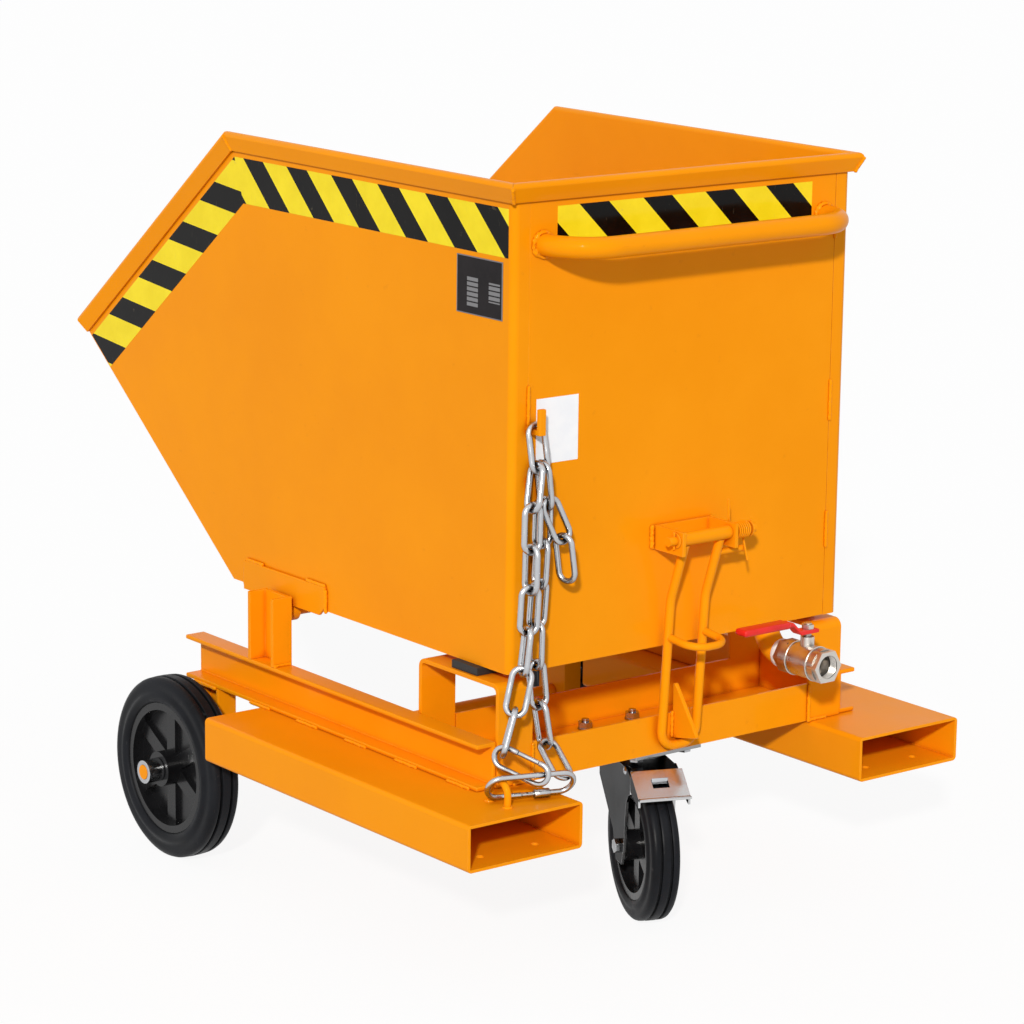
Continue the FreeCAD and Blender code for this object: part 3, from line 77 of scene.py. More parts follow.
# Sizes of the trolley that the added pieces share, in metres; side corners are given forward and up
SKIP_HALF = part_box("pivot_strap_right")[0].x
SKIP_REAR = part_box("plain_sticker")[1].y
RIM_BOTTOM = 0.962
PEAK = Vector((0.155, RIM_BOTTOM))
LIP = Vector((0.528, 0.664))
CHUTE_FOOT = Vector((0.159, 0.376))
SLOPE = math.atan2(PEAK.y - LIP.y, LIP.x - PEAK.x)
CHUTE = math.atan2(LIP.y - CHUTE_FOOT.y, LIP.x - CHUTE_FOOT.x)

# Where the lamp stands, which the plated finishes use too
KEY_FROM = Vector((-0.95, -1.0, 0.68))


# Small helpers
def deselect():
    bpy.ops.object.select_all(action="DESELECT")


def make_active(piece):
    deselect()
    piece.select_set(True)
    bpy.context.view_layer.objects.active = piece


def edit(piece):
    make_active(piece)
    bpy.ops.object.mode_set(mode="EDIT")
    bpy.ops.mesh.select_all(action="SELECT")


def leave_edit():
    bpy.ops.object.mode_set(mode="OBJECT")


def apply_modifier(piece, kind, **settings):
    make_active(piece)
    bpy.ops.object.modifier_add(type=kind)
    modifier = piece.modifiers[-1]
    for key, value in settings.items():
        setattr(modifier, key, value)
    bpy.ops.object.modifier_apply(modifier=modifier.name)


def smooth(piece, degrees=38):
    """Shades a piece smooth except where two faces meet at more than this angle."""
    make_active(piece)
    bpy.ops.object.shade_smooth_by_angle(angle=math.radians(degrees))


def hand_over(piece, name, body, slot, *replaced, coat=None):
    """Names a finished piece, paints it and lets it ride on its body."""
    piece.name = name
    piece.data.name = name
    piece.data.materials.clear()
    piece.data.materials.append(finish[coat or slot])
    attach(piece, body)
    if replaced:
        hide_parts(*replaced)


# Shader nodes
def add(tree, kind, **settings):
    node = tree.nodes.new("ShaderNode" + kind)
    for key, value in settings.items():
        setattr(node, key, value)
    return node


def feed(tree, socket, value):
    """Links an input to another node's output, or sets its own value."""
    if isinstance(value, bpy.types.NodeSocket):
        tree.links.new(value, socket)
    else:
        socket.default_value = value


def put(tree, node, **values):
    """Feeds the named inputs of a node; an underscore stands for a space."""
    for key, value in values.items():
        feed(tree, node.inputs[key.replace("_", " ")], value)
    return node


def arithmetic(tree, operation, *values):
    node = add(tree, "Math", operation=operation)
    for socket, value in zip(node.inputs, values):
        feed(tree, socket, value)
    return node.outputs[0]


def between(tree, value, low, high, start=0.0, end=1.0):
    """Goes smoothly from start to end while the value goes from low to high."""
    node = add(tree, "MapRange", interpolation_type="SMOOTHSTEP")
    put(tree, node, Value=value, From_Min=low, From_Max=high, To_Min=start, To_Max=end)
    return node.outputs["Result"]


def blend_colour(tree, amount, first, second):
    """Mixes two colours; the mix node keeps its colour inputs at places 6 and 7 and the result at 2."""
    node = add(tree, "Mix", data_type="RGBA")
    for socket, value in zip((node.inputs[0], node.inputs[6], node.inputs[7]), (amount, first, second)):
        feed(tree, socket, value)
    return node.outputs[2]


def noise(tree, where, scale, detail=3.0, roughness=0.5):
    node = add(tree, "TexNoise")
    put(tree, node, Vector=where, Scale=scale, Detail=detail, Roughness=roughness)
    return node.outputs["Fac"]


def stretched(tree, where, scale):
    node = add(tree, "Mapping")
    put(tree, node, Vector=where, Scale=scale)
    return node.outputs["Vector"]


def new_group(name, inputs, outputs):
    group = bpy.data.node_groups.new(name, "ShaderNodeTree")
    for label, value in inputs.items():
        socket = group.interface.new_socket(label, in_out="INPUT", socket_type="NodeSocketFloat")
        socket.default_value = value
    for label in outputs:
        group.interface.new_socket(label, in_out="OUTPUT", socket_type="NodeSocketFloat")
    entry = group.nodes.new("NodeGroupInput")
    leave = group.nodes.new("NodeGroupOutput")
    return group, entry.outputs, leave.inputs


def make_edge_group():
    """A mask that is 1 on worn outside edges and fades out over the given radius; the finishes lighten those
    edges, partly as wear and partly as painted highlight.
    """
    group, given, result = new_group("edge_wear_and_highlight", {"Radius": 0.002, "Patchiness": 40.0}, ["Mask"])
    where = add(group, "TexCoord").outputs["Object"]
    rounded = put(group, add(group, "Bevel", samples=6), Radius=given["Radius"])
    facing = add(group, "VectorMath", operation="DOT_PRODUCT")
    feed(group, facing.inputs[0], rounded.outputs["Normal"])
    feed(group, facing.inputs[1], add(group, "NewGeometry").outputs["Normal"])
    turned_away = arithmetic(group, "SUBTRACT", 1.0, facing.outputs["Value"])
    edge = between(group, turned_away, 0.02, 0.2)
    broken = between(group, noise(group, where, given["Patchiness"], 4.0), 0.35, 0.7)
    feed(group, result["Mask"], arithmetic(group, "MULTIPLY", edge, broken))
    return group


def make_grain_group():
    """Broad tone, fine grain and thin scratches for any painted, plated or moulded surface."""
    group, given, result = new_group(
        "surface_grain", {"Broad Scale": 4.0, "Fine Scale": 500.0}, ["Tone", "Grain", "Scratches"])
    where = add(group, "TexCoord").outputs["Object"]
    tone = noise(group, where, given["Broad Scale"], 5.0, 0.6)
    lines = noise(group, stretched(group, where, (60, 900, 60)), 1.0, 2.0)
    crossing = noise(group, stretched(group, where, (700, 50, 90)), 1.0, 2.0)
    thin_lines = between(group, lines, 0.70, 0.76)
    thin_crossing = between(group, crossing, 0.71, 0.77)
    thin = arithmetic(group, "MAXIMUM", thin_lines, thin_crossing)
    feed(group, result["Tone"], between(group, tone, 0.3, 0.7))
    feed(group, result["Grain"], noise(group, where, given["Fine Scale"], 2.0))
    feed(group, result["Scratches"], thin)
    return group


def make_crevice_group():
    """How open a spot is, for painted shade in corners and gaps: 0 deep in a corner or under a crossing link,
    1 in the open.
    """
    group, given, result = new_group("crevice_shade", {"Distance": 0.01}, ["Openness"])
    shade = put(group, add(group, "AmbientOcclusion", samples=8), Distance=given["Distance"])
    feed(group, result["Openness"], between(group, shade.outputs["AO"], 0.25, 0.85))
    return group


def make_lit_side_group():
    """1 on surfaces that face the lamp and 0 on those turned away, as plating shows its surroundings."""
    group, given, result = new_group("lit_side", {"Low": -0.3, "High": 0.8}, ["Lit"])
    facing = add(group, "VectorMath", operation="DOT_PRODUCT")
    feed(group, facing.inputs[0], add(group, "NewGeometry").outputs["Normal"])
    feed(group, facing.inputs[1], KEY_FROM.normalized())
    feed(group, result["Lit"], between(group, facing.outputs["Value"], given["Low"], given["High"]))
    return group


EDGE_WEAR_AND_HIGHLIGHT = make_edge_group()
CREVICE_SHADE = make_crevice_group()
LIT_SIDE = make_lit_side_group()
SURFACE_GRAIN = make_grain_group()


def place_group(tree, group, **values):
    node = tree.nodes.new("ShaderNodeGroup")
    node.node_tree = group
    put(tree, node, **values)
    return node.outputs


def new_finish(name, **values):
    material = bpy.data.materials.new(name)
    material.use_nodes = True
    tree = material.node_tree
    shader = tree.nodes["Principled BSDF"]
    put(tree, shader, **values)
    return material, tree, shader


def bumped(tree, shader, height, strength, distance):
    bump = add(tree, "Bump")
    put(tree, bump, Height=height, Strength=strength, Distance=distance)
    put(tree, shader, Normal=bump.outputs["Normal"])


def touched(tree, colour, mask, share, over):
    """Lays another colour over the first where the mask is, at a share of its strength."""
    return blend_colour(tree, arithmetic(tree, "MULTIPLY", mask, share), colour, over)


def lay_on(tree, shader, colour, grain, roughness, relief, strength, depth):
    """Colours a surface, lets its roughness follow the broad tone and gives it a fine relief."""
    put(tree, shader, Base_Color=colour, Roughness=between(tree, grain["Tone"], 0.0, 1.0, *roughness))
    bumped(tree, shader, grain[relief], strength, depth)


# Finishes
def orange_powder_coat():
    material, tree, shader = new_finish("orange_powder_coat", Specular_IOR_Level=0.06, Coat_Weight=0.06,
                                        Specular_Tint=(1.0, 0.55, 0.12, 1), Coat_Roughness=0.06)
    grain = place_group(tree, SURFACE_GRAIN, Broad_Scale=3.5, Fine_Scale=420.0)
    edges = place_group(tree, EDGE_WEAR_AND_HIGHLIGHT, Radius=0.0025, Patchiness=55.0)
    corners = place_group(tree, CREVICE_SHADE, Distance=0.012)
    coat = blend_colour(tree, grain["Tone"], (0.89, 0.292, 0.002, 1), (0.935, 0.320, 0.004, 1))
    # Painted shade: corners and folds darkened towards deep orange.
    coat = blend_colour(tree, corners["Openness"], (0.62, 0.135, 0.001, 1), coat)
    # Edges lightened, partly as paint wear and partly as painted highlight.
    coat = touched(tree, coat, edges["Mask"], 0.45, (1.0, 0.47, 0.07, 1))
    coat = touched(tree, coat, grain["Scratches"], 0.12, (0.62, 0.17, 0.01, 1))
    lay_on(tree, shader, coat, grain, (0.30, 0.42), "Grain", 0.12, 0.6 * MM)
    return material


def bright_zinc():
    material, tree, shader = new_finish("bright_zinc", Metallic=1.0)
    grain = place_group(tree, SURFACE_GRAIN, Broad_Scale=60.0, Fine_Scale=900.0)
    edges = place_group(tree, EDGE_WEAR_AND_HIGHLIGHT, Radius=0.001, Patchiness=200.0)
    gap_shade = place_group(tree, CREVICE_SHADE, Distance=0.009)
    light = place_group(tree, LIT_SIDE, Low=-0.15, High=1.25)
    # Painted reflection: plate bright on sides facing the lamp, dark on sides turned away.
    plate = blend_colour(tree, light["Lit"], (0.16, 0.163, 0.168, 1), (0.64, 0.65, 0.67, 1))
    plate = touched(tree, plate, grain["Tone"], 0.35, (0.55, 0.56, 0.58, 1))
    # Painted highlight along the edges.
    plate = blend_colour(tree, edges["Mask"], plate, (0.90, 0.91, 0.92, 1))
    plate = touched(tree, plate, grain["Scratches"], 0.3, (0.3, 0.31, 0.33, 1))
    # Painted shade in gaps and under crossing links.
    plate = blend_colour(tree, gap_shade["Openness"], (0.10, 0.10, 0.105, 1), plate)
    lay_on(tree, shader, plate, grain, (0.30, 0.16), "Tone", 0.25, 0.6 * MM)
    return material


def dull_zinc():
    """The castor's passivated steel, darker than the chain."""
    material, tree, shader = new_finish("dull_zinc", Metallic=1.0, Specular_Tint=(0.58, 0.58, 0.58, 1))
    grain = place_group(tree, SURFACE_GRAIN, Broad_Scale=16.0, Fine_Scale=900.0)
    edges = place_group(tree, EDGE_WEAR_AND_HIGHLIGHT, Radius=0.0015, Patchiness=60.0)
    light = place_group(tree, LIT_SIDE, Low=0.45, High=0.85)
    plate = blend_colour(tree, grain["Tone"], (0.042, 0.043, 0.044, 1), (0.062, 0.063, 0.065, 1))
    # Painted reflection: plate turns bright on sides facing the lamp.
    plate = blend_colour(tree, light["Lit"], plate, (0.60, 0.60, 0.60, 1))
    # Painted highlight along the edges.
    plate = blend_colour(tree, edges["Mask"], plate, (0.72, 0.74, 0.76, 1))
    lay_on(tree, shader, plate, grain, (0.24, 0.15), "Grain", 0.12, 0.4 * MM)
    return material


def seal_tape():
    """White thread tape wound on the drain pipe."""
    material, tree, shader = new_finish("seal_tape", Specular_IOR_Level=0.3)
    grain = place_group(tree, SURFACE_GRAIN, Broad_Scale=90.0, Fine_Scale=1200.0)
    tape = blend_colour(tree, grain["Tone"], (0.80, 0.80, 0.79, 1), (0.92, 0.92, 0.91, 1))
    lay_on(tree, shader, tape, grain, (0.5, 0.65), "Tone", 0.5, 1 * MM)
    return material


def nickel_plate():
    material, tree, shader = new_finish("nickel_plate", Metallic=1.0)
    grain = place_group(tree, SURFACE_GRAIN, Broad_Scale=45.0, Fine_Scale=700.0)
    edges = place_group(tree, EDGE_WEAR_AND_HIGHLIGHT, Radius=0.0012, Patchiness=150.0)
    light = place_group(tree, LIT_SIDE, Low=-0.4, High=0.7)
    gap_shade = place_group(tree, CREVICE_SHADE, Distance=0.006)
    # Painted reflection: brighter on sides facing the lamp, darker on sides turned away.
    plate = blend_colour(tree, light["Lit"], (0.22, 0.19, 0.165, 1), (0.66, 0.62, 0.57, 1))
    plate = touched(tree, plate, grain["Tone"], 0.4, (0.50, 0.46, 0.42, 1))
    # Painted highlight along the edges.
    plate = blend_colour(tree, edges["Mask"], plate, (0.86, 0.84, 0.81, 1))
    # Painted shade in gaps and corners.
    plate = blend_colour(tree, gap_shade["Openness"], (0.05, 0.045, 0.04, 1), plate)
    lay_on(tree, shader, plate, grain, (0.42, 0.27), "Grain", 0.35, 0.6 * MM)
    return material


def red_dip():
    material, tree, shader = new_finish("red_dip", Specular_IOR_Level=0.3, Coat_Weight=0.1,
                                        Coat_Roughness=0.1)
    grain = place_group(tree, SURFACE_GRAIN, Broad_Scale=25.0, Fine_Scale=380.0)
    edges = place_group(tree, EDGE_WEAR_AND_HIGHLIGHT, Radius=0.0015, Patchiness=120.0)
    skin = blend_colour(tree, grain["Tone"], (0.62, 0.012, 0.010, 1), (0.78, 0.022, 0.016, 1))
    # Edges lightened, partly as worn dip and partly as painted highlight.
    skin = touched(tree, skin, edges["Mask"], 0.4, (0.92, 0.10, 0.07, 1))
    lay_on(tree, shader, skin, grain, (0.28, 0.4), "Grain", 0.15, 0.6 * MM)
    return material


def tyre_compound():
    material, tree, shader = new_finish("tyre_compound", Specular_IOR_Level=0.1)
    grain = place_group(tree, SURFACE_GRAIN, Broad_Scale=14.0, Fine_Scale=650.0)
    edges = place_group(tree, EDGE_WEAR_AND_HIGHLIGHT, Radius=0.002, Patchiness=90.0)
    groove_shade = place_group(tree, CREVICE_SHADE, Distance=0.006)
    rubber = blend_colour(tree, grain["Tone"], (0.006, 0.0065, 0.008, 1), (0.011, 0.012, 0.015, 1))
    # Painted shade in the tread grooves.
    rubber = blend_colour(tree, groove_shade["Openness"], (0.002, 0.002, 0.002, 1), rubber)
    # Edges lightened, partly as wear and partly as painted sheen.
    rubber = touched(tree, rubber, edges["Mask"], 0.5, (0.045, 0.048, 0.055, 1))
    rubber = touched(tree, rubber, grain["Scratches"], 0.4, (0.05, 0.05, 0.05, 1))
    lay_on(tree, shader, rubber, grain, (0.36, 0.52), "Grain", 0.2, 0.6 * MM)
    return material


def black_moulding():
    material, tree, shader = new_finish("black_moulding", Specular_IOR_Level=0.3)
    grain = place_group(tree, SURFACE_GRAIN, Broad_Scale=18.0, Fine_Scale=800.0)
    edges = place_group(tree, EDGE_WEAR_AND_HIGHLIGHT, Radius=0.0015, Patchiness=110.0)
    plastic = blend_colour(tree, grain["Tone"], (0.004, 0.004, 0.0045, 1), (0.009, 0.009, 0.010, 1))
    # Edges lightened, partly as wear and partly as painted highlight.
    plastic = touched(tree, plastic, edges["Mask"], 0.5, (0.03, 0.03, 0.032, 1))
    lay_on(tree, shader, plastic, grain, (0.18, 0.3), "Grain", 0.1, 0.4 * MM)
    return material


def pad_rubber():
    material, tree, shader = new_finish("pad_rubber")
    grain = place_group(tree, SURFACE_GRAIN, Broad_Scale=40.0, Fine_Scale=500.0)
    rubber = blend_colour(tree, grain["Tone"], (0.010, 0.010, 0.010, 1), (0.022, 0.021, 0.020, 1))
    lay_on(tree, shader, rubber, grain, (0.55, 0.75), "Grain", 0.4, 0.8 * MM)
    return material


STRIPE_PITCH = 0.101
STRIPE_SHARE = 0.46
STRIPE_SLANT = 1.03


def hazard_film():
    """Slanted yellow and black bars along the film, which carries its length and width as a UV map."""
    material, tree, shader = new_finish("hazard_film", Specular_IOR_Level=0.12)
    place = add(tree, "UVMap", uv_map="film").outputs["UV"]
    axes = put(tree, add(tree, "SeparateXYZ"), Vector=place)
    leaning = arithmetic(tree, "MULTIPLY", axes.outputs["Y"], STRIPE_SLANT)
    along = arithmetic(tree, "DIVIDE", arithmetic(tree, "ADD", axes.outputs["X"], leaning), STRIPE_PITCH)
    share = arithmetic(tree, "FRACT", along)
    black = arithmetic(tree, "LESS_THAN", share, STRIPE_SHARE)
    grain = place_group(tree, SURFACE_GRAIN, Broad_Scale=20.0, Fine_Scale=300.0)
    yellow = blend_colour(tree, grain["Tone"], (0.86, 0.67, 0.010, 1), (0.94, 0.75, 0.018, 1))
    ink = blend_colour(tree, grain["Tone"], (0.002, 0.0017, 0.0014, 1), (0.004, 0.0034, 0.0028, 1))
    film = blend_colour(tree, black, yellow, ink)
    film = touched(tree, film, grain["Scratches"], 0.15, (0.3, 0.25, 0.15, 1))
    lay_on(tree, shader, film, grain, (0.10, 0.17), "Tone", 0.06, 0.6 * MM)
    return material


PLATE_BORDER = 0.482
PLATE_ROWS = 11.5
FIELD_HALF_HEIGHT = 0.36
FIELD_HALF_WIDTH = 0.12
FIELD_COLUMNS = [(0.35, 0.60, 0.26), (0.825, 0.56, 0.17)]


def dark_plate():
    """A bare dark plate: a pale frame and two columns of empty fields, as shares of its width and height."""
    material, tree, shader = new_finish("dark_plate", Specular_IOR_Level=0.1)
    place = add(tree, "UVMap", uv_map="film").outputs["UV"]
    axes = put(tree, add(tree, "SeparateXYZ"), Vector=place)
    across = axes.outputs["X"]
    down = axes.outputs["Y"]
    off_middle = arithmetic(tree, "MAXIMUM",
                            arithmetic(tree, "ABSOLUTE", arithmetic(tree, "SUBTRACT", across, 0.5)),
                            arithmetic(tree, "ABSOLUTE", arithmetic(tree, "SUBTRACT", down, 0.5)))
    border = arithmetic(tree, "GREATER_THAN", off_middle, PLATE_BORDER)
    row_share = arithmetic(tree, "FRACT", arithmetic(tree, "MULTIPLY", down, PLATE_ROWS))
    in_row = arithmetic(tree, "COMPARE", row_share, 0.5, FIELD_HALF_HEIGHT)
    fields = 0.0
    for column, middle, reach in FIELD_COLUMNS:
        in_column = arithmetic(tree, "COMPARE", across, column, FIELD_HALF_WIDTH)
        in_reach = arithmetic(tree, "COMPARE", down, middle, reach)
        fields = arithmetic(tree, "MULTIPLY_ADD", in_column, in_reach, fields)
    fields = arithmetic(tree, "MULTIPLY", fields, in_row)
    grain = place_group(tree, SURFACE_GRAIN, Broad_Scale=30.0, Fine_Scale=900.0)
    metal = blend_colour(tree, grain["Tone"], (0.010, 0.008, 0.009, 1), (0.017, 0.014, 0.015, 1))
    metal = touched(tree, metal, fields, 0.8, (0.27, 0.27, 0.28, 1))
    metal = blend_colour(tree, border, metal, (0.20, 0.20, 0.21, 1))
    lay_on(tree, shader, metal, grain, (0.3, 0.42), "Grain", 0.08, 0.3 * MM)
    return material


def white_sticker():
    material, tree, shader = new_finish("white_sticker")
    grain = place_group(tree, SURFACE_GRAIN, Broad_Scale=35.0, Fine_Scale=1200.0)
    paper = blend_colour(tree, grain["Tone"], (0.86, 0.88, 0.92, 1), (0.92, 0.93, 0.95, 1))
    lay_on(tree, shader, paper, grain, (0.3, 0.45), "Tone", 0.15, 0.6 * MM)
    return material


finish = {
    "orange_paint": orange_powder_coat(),
    "zinc": bright_zinc(),
    "castor_steel": dull_zinc(),
    "seal_tape": seal_tape(),
    "nickel": nickel_plate(),
    "red_lever": red_dip(),
    "black_rubber": pad_rubber(),
    "tyre_rubber": tyre_compound(),
    "black_plastic": black_moulding(),
    "hazard_tape": hazard_film(),
    "dark_plate": dark_plate(),
    "white_sticker": white_sticker(),
}

CASTOR_STEEL = {"castor_fork", "castor_brake_pedal", "castor_top_plate"}


def coat_of(node_name):
    return "castor_steel" if node_name in CASTOR_STEEL else slot_of[node_name]


for node_name, node in nodes.items():
    for material_slot in node.material_slots:
        material_slot.material = finish[coat_of(node_name)]

# Sheet and forged parts with their edges eased: how far each edge is rounded
CAD_MERGE = 0.01 * MM
FLAT_WITHIN = math.radians(0.5)
SHARP_FROM = math.radians(32)
EASED_EDGES = {
    0.6 * MM: ["castor_brake_pedal", "castor_top_plate", "castor_bolts", "castor_nuts", "castor_axle_bolt",
               "axle_collars", "latch_washers"],
    0.8 * MM: ["skip_floor_chute", "latch_bracket", "castor_fork", "valve_body"],
    1.2 * MM: ["skip_side_left", "skip_side_right", "skip_rear_panel", "fork_pocket_left",
               "fork_pocket_right", "castor_crossmember", "latch_catch", "pivot_strap_left",
               "pivot_strap_right", "chain_hook", "rim_left", "rim_right", "castor_rim",
               "rear_support_left", "rear_support_right", "rubber_pads", "valve_stem"],
    1.8 * MM: ["frame_channel_left", "frame_channel_right", "pivot_post_left", "pivot_post_right",
               "axle_bracket_left", "axle_bracket_right", "valve_lever"],
}


def eased(node_name, width):
    """A merged copy of a CAD node with its sharp edges rounded over, standing in for the node."""
    source = nodes[node_name]
    piece = bpy.data.objects.new(node_name + "_eased", source.data.copy())
    bpy.context.scene.collection.objects.link(piece)
    make_active(piece)
    bpy.ops.mesh.customdata_custom_splitnormals_clear()
    edit(piece)
    bpy.ops.mesh.remove_doubles(threshold=CAD_MERGE)
    bpy.ops.mesh.dissolve_limited(angle_limit=FLAT_WITHIN)
    leave_edit()
    apply_modifier(piece, "BEVEL", width=width, segments=2, limit_method="ANGLE",
                   angle_limit=SHARP_FROM, use_clamp_overlap=True)
    smooth(piece)
    apply_modifier(piece, "WEIGHTED_NORMAL", keep_sharp=True)
    hand_over(piece, node_name + "_eased", source["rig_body"], slot_of[node_name], node_name,
              coat=coat_of(node_name))


for edge_width, names in EASED_EDGES.items():
    for node_name in names:
        eased(node_name, edge_width)


# Tyres: half of the moulded section, as shares of half the width and of the rubber's height
TYRE_SECTION = [
    (0.70, 0.0), (0.86, 0.02), (0.93, 0.07), (0.955, 0.13), (0.99, 0.19), (1.0, 0.26), (0.985, 0.33),
    (0.93, 0.40), (0.88, 0.45), (0.865, 0.54), (0.885, 0.66), (0.875, 0.77), (0.83, 0.87), (0.74, 0.945),
    (0.62, 0.98), (0.43, 0.99), (0.41, 0.98), (0.395, 0.89), (0.375, 0.87), (0.265, 0.87), (0.245, 0.89),
    (0.235, 0.985), (0.215, 1.0), (0.08, 1.0),
]
TYRE_STEPS = 120
SPIN_MERGE = 0.02 * MM
ROUND_SHARP = 45


def turned(section, middle, axis, steps=64):
    """Spins a closed section, given as places along a level axis and radii in metres, about that axis."""
    deselect()
    bpy.ops.mesh.primitive_circle_add(vertices=len(section), radius=1)
    piece = bpy.context.active_object
    edit(piece)
    shape = bmesh.from_edit_mesh(piece.data)
    shape.verts.ensure_lookup_table()
    for vertex, (along, radius) in zip(shape.verts, section):
        vertex.co = middle + axis * along + UP * radius
    bmesh.update_edit_mesh(piece.data)
    bpy.ops.mesh.spin(steps=steps, angle=2 * math.pi, center=middle, axis=axis)
    bpy.ops.mesh.select_all(action="SELECT")
    bpy.ops.mesh.remove_doubles(threshold=SPIN_MERGE)
    bpy.ops.mesh.normals_make_consistent(inside=False)
    leave_edit()
    smooth(piece, ROUND_SHARP)
    return piece


def moulded_tyre(name, rim, across, width, body):
    """The moulded tyre round a rim, as large as the plain one it stands in for."""
    low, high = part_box(name)
    outer = (high.z - low.z) / 2
    rim_low, rim_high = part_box(rim)
    inner = (rim_high.z - rim_low.z) / 2
    half = TYRE_SECTION + [(-share, height) for share, height in reversed(TYRE_SECTION)]
    section = [(share * width / 2, inner + height * (outer - inner)) for share, height in half]
    piece = turned(section, middle_of(name), across, TYRE_STEPS)
    hand_over(piece, name + "_moulded", body, "tyre_rubber", name)


TYRE_WIDTH = 0.050
CASTOR_TYRE_WIDTH = 0.044
CASTOR_TURN = math.radians(-22)
CASTOR_ACROSS = Vector((math.cos(CASTOR_TURN), math.sin(CASTOR_TURN), 0))
moulded_tyre("tyre_left", "rim_left", RIGHT, TYRE_WIDTH, "wheel_left")
moulded_tyre("tyre_right", "rim_right", RIGHT, TYRE_WIDTH, "wheel_right")
moulded_tyre("castor_tyre", "castor_rim", CASTOR_ACROSS, CASTOR_TYRE_WIDTH, "castor_wheel")


# Films and plates: flat four-cornered sheets that carry their own map
def film(corners, outward, thickness, columns, rows):
    """Corners run round the sheet: start and end of the first edge, then end and start of the second."""
    deselect()
    bpy.ops.mesh.primitive_grid_add(x_subdivisions=columns, y_subdivisions=rows, size=2)
    piece = bpy.context.active_object
    first, second, third, fourth = corners
    mesh = piece.data
    shares = [((vertex.co.x + 1) / 2, (vertex.co.y + 1) / 2) for vertex in mesh.vertices]
    for vertex, (along, across) in zip(mesh.vertices, shares):
        near = first.lerp(second, along)
        far = fourth.lerp(third, along)
        vertex.co = near.lerp(far, across) + outward * thickness
    edit(piece)
    bpy.ops.mesh.normals_make_consistent(inside=False)
    leave_edit()
    if mesh.polygons[0].normal.dot(outward) < 0:
        edit(piece)
        bpy.ops.mesh.flip_normals()
        leave_edit()
    apply_modifier(piece, "SOLIDIFY", thickness=thickness, offset=-1)
    return piece


def map_film(piece, start, along, across, length=1.0, width=1.0, shift=0.0):
    """Writes each corner's place along and across the film, from the start point, as a UV map."""
    for layer in list(piece.data.uv_layers):
        piece.data.uv_layers.remove(layer)
    layer = piece.data.uv_layers.new(name="film")
    for loop in piece.data.loops:
        place = piece.data.vertices[loop.vertex_index].co - start
        layer.data[loop.index].uv = (place.dot(along) / length - shift, place.dot(across) / width)


TAPE_TOP = 0.008
TAPE_WIDTH = 0.060
TAPE_DEEP = TAPE_TOP + TAPE_WIDTH
TAPE_FILM = 0.3 * MM
TAPE_REAR = -0.442
TAPE_END = 0.0015
REAR_TAPE_HALF = 0.208
FIRST_BAR_SIDE = 0.0217
FIRST_BAR_SLOPE = 0.062
FIRST_BAR_REAR = 0.033
TAPE_ROWS = 4
LEVEL_COLUMNS = 40
SHORT_COLUMNS = 32


def tape(name, corners, outward, along, across, first_bar, columns, *replaced):
    """A length of striped tape whose bars start at the first bar's place from the first corner."""
    piece = film(corners, outward, TAPE_FILM, columns, TAPE_ROWS)
    map_film(piece, corners[0], along, across, shift=first_bar)
    hand_over(piece, name, "skip", "hazard_tape", *replaced)


def side_tapes(word, side):
    wall = side * SKIP_HALF
    outward = side * RIGHT

    def rear_end(depth):
        return Vector((wall, TAPE_REAR, RIM_BOTTOM - depth))

    def fold(depth):
        return Vector((wall, PEAK.x - depth * math.tan(SLOPE / 2), RIM_BOTTOM - depth))

    def lip_end(depth):
        down = depth / math.sin(SLOPE + CHUTE)
        return Vector((wall, LIP.x - TAPE_END * math.cos(SLOPE) - down * math.cos(CHUTE),
                       LIP.y + TAPE_END * math.sin(SLOPE) - down * math.sin(CHUTE)))

    tape(f"tape_level_{word}", [rear_end(TAPE_TOP), fold(TAPE_TOP), fold(TAPE_DEEP), rear_end(TAPE_DEEP)],
         outward, FORWARD, DOWN, FIRST_BAR_SIDE, LEVEL_COLUMNS)
    downhill = Vector((0, math.cos(SLOPE), -math.sin(SLOPE)))
    inward = Vector((0, -math.sin(SLOPE), -math.cos(SLOPE)))
    tape(f"tape_sloped_{word}", [fold(TAPE_TOP), lip_end(TAPE_TOP), lip_end(TAPE_DEEP), fold(TAPE_DEEP)],
         outward, downhill, inward, FIRST_BAR_SLOPE, SHORT_COLUMNS)


def rear_corner(side, depth):
    return Vector((side * REAR_TAPE_HALF, SKIP_REAR, RIM_BOTTOM - depth))


side_tapes("left", -1)
side_tapes("right", 1)
rear_corners = [rear_corner(1, TAPE_TOP), rear_corner(-1, TAPE_TOP), rear_corner(-1, TAPE_DEEP),
                rear_corner(1, TAPE_DEEP)]
tape("tape_rear", rear_corners, BACKWARD, -RIGHT, DOWN, FIRST_BAR_REAR, SHORT_COLUMNS, "hazard_tapes")

DATA_PLATE_WALL = 0.8 * MM
STICKER_WALL = 0.3 * MM
PLATE_EASE = 0.2 * MM
PLATE_SHARP = math.radians(40)
PLATE_COLUMNS = 10
PLATE_GRID_ROWS = 8


def flat_plate(name, node_name, along, outward, thickness, slot):
    """A flat plate or sticker in place of its node, mapped along its top edge and down its side."""
    low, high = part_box(node_name)
    start = Vector((0, 0, high.z))
    for axis in (0, 1):
        at_low = along[axis] > 0 or outward[axis] > 0
        start[axis] = low[axis] if at_low else high[axis]
    length = abs((high - low).dot(along))
    width = high.z - low.z
    second = start + along * length
    corners = [start, second, second + DOWN * width, start + DOWN * width]
    piece = film(corners, outward, thickness, PLATE_COLUMNS, PLATE_GRID_ROWS)
    map_film(piece, start, along, DOWN, length, width)
    apply_modifier(piece, "BEVEL", width=PLATE_EASE, segments=2, limit_method="ANGLE",
                   angle_limit=PLATE_SHARP)
    hand_over(piece, name, "skip", slot, node_name)


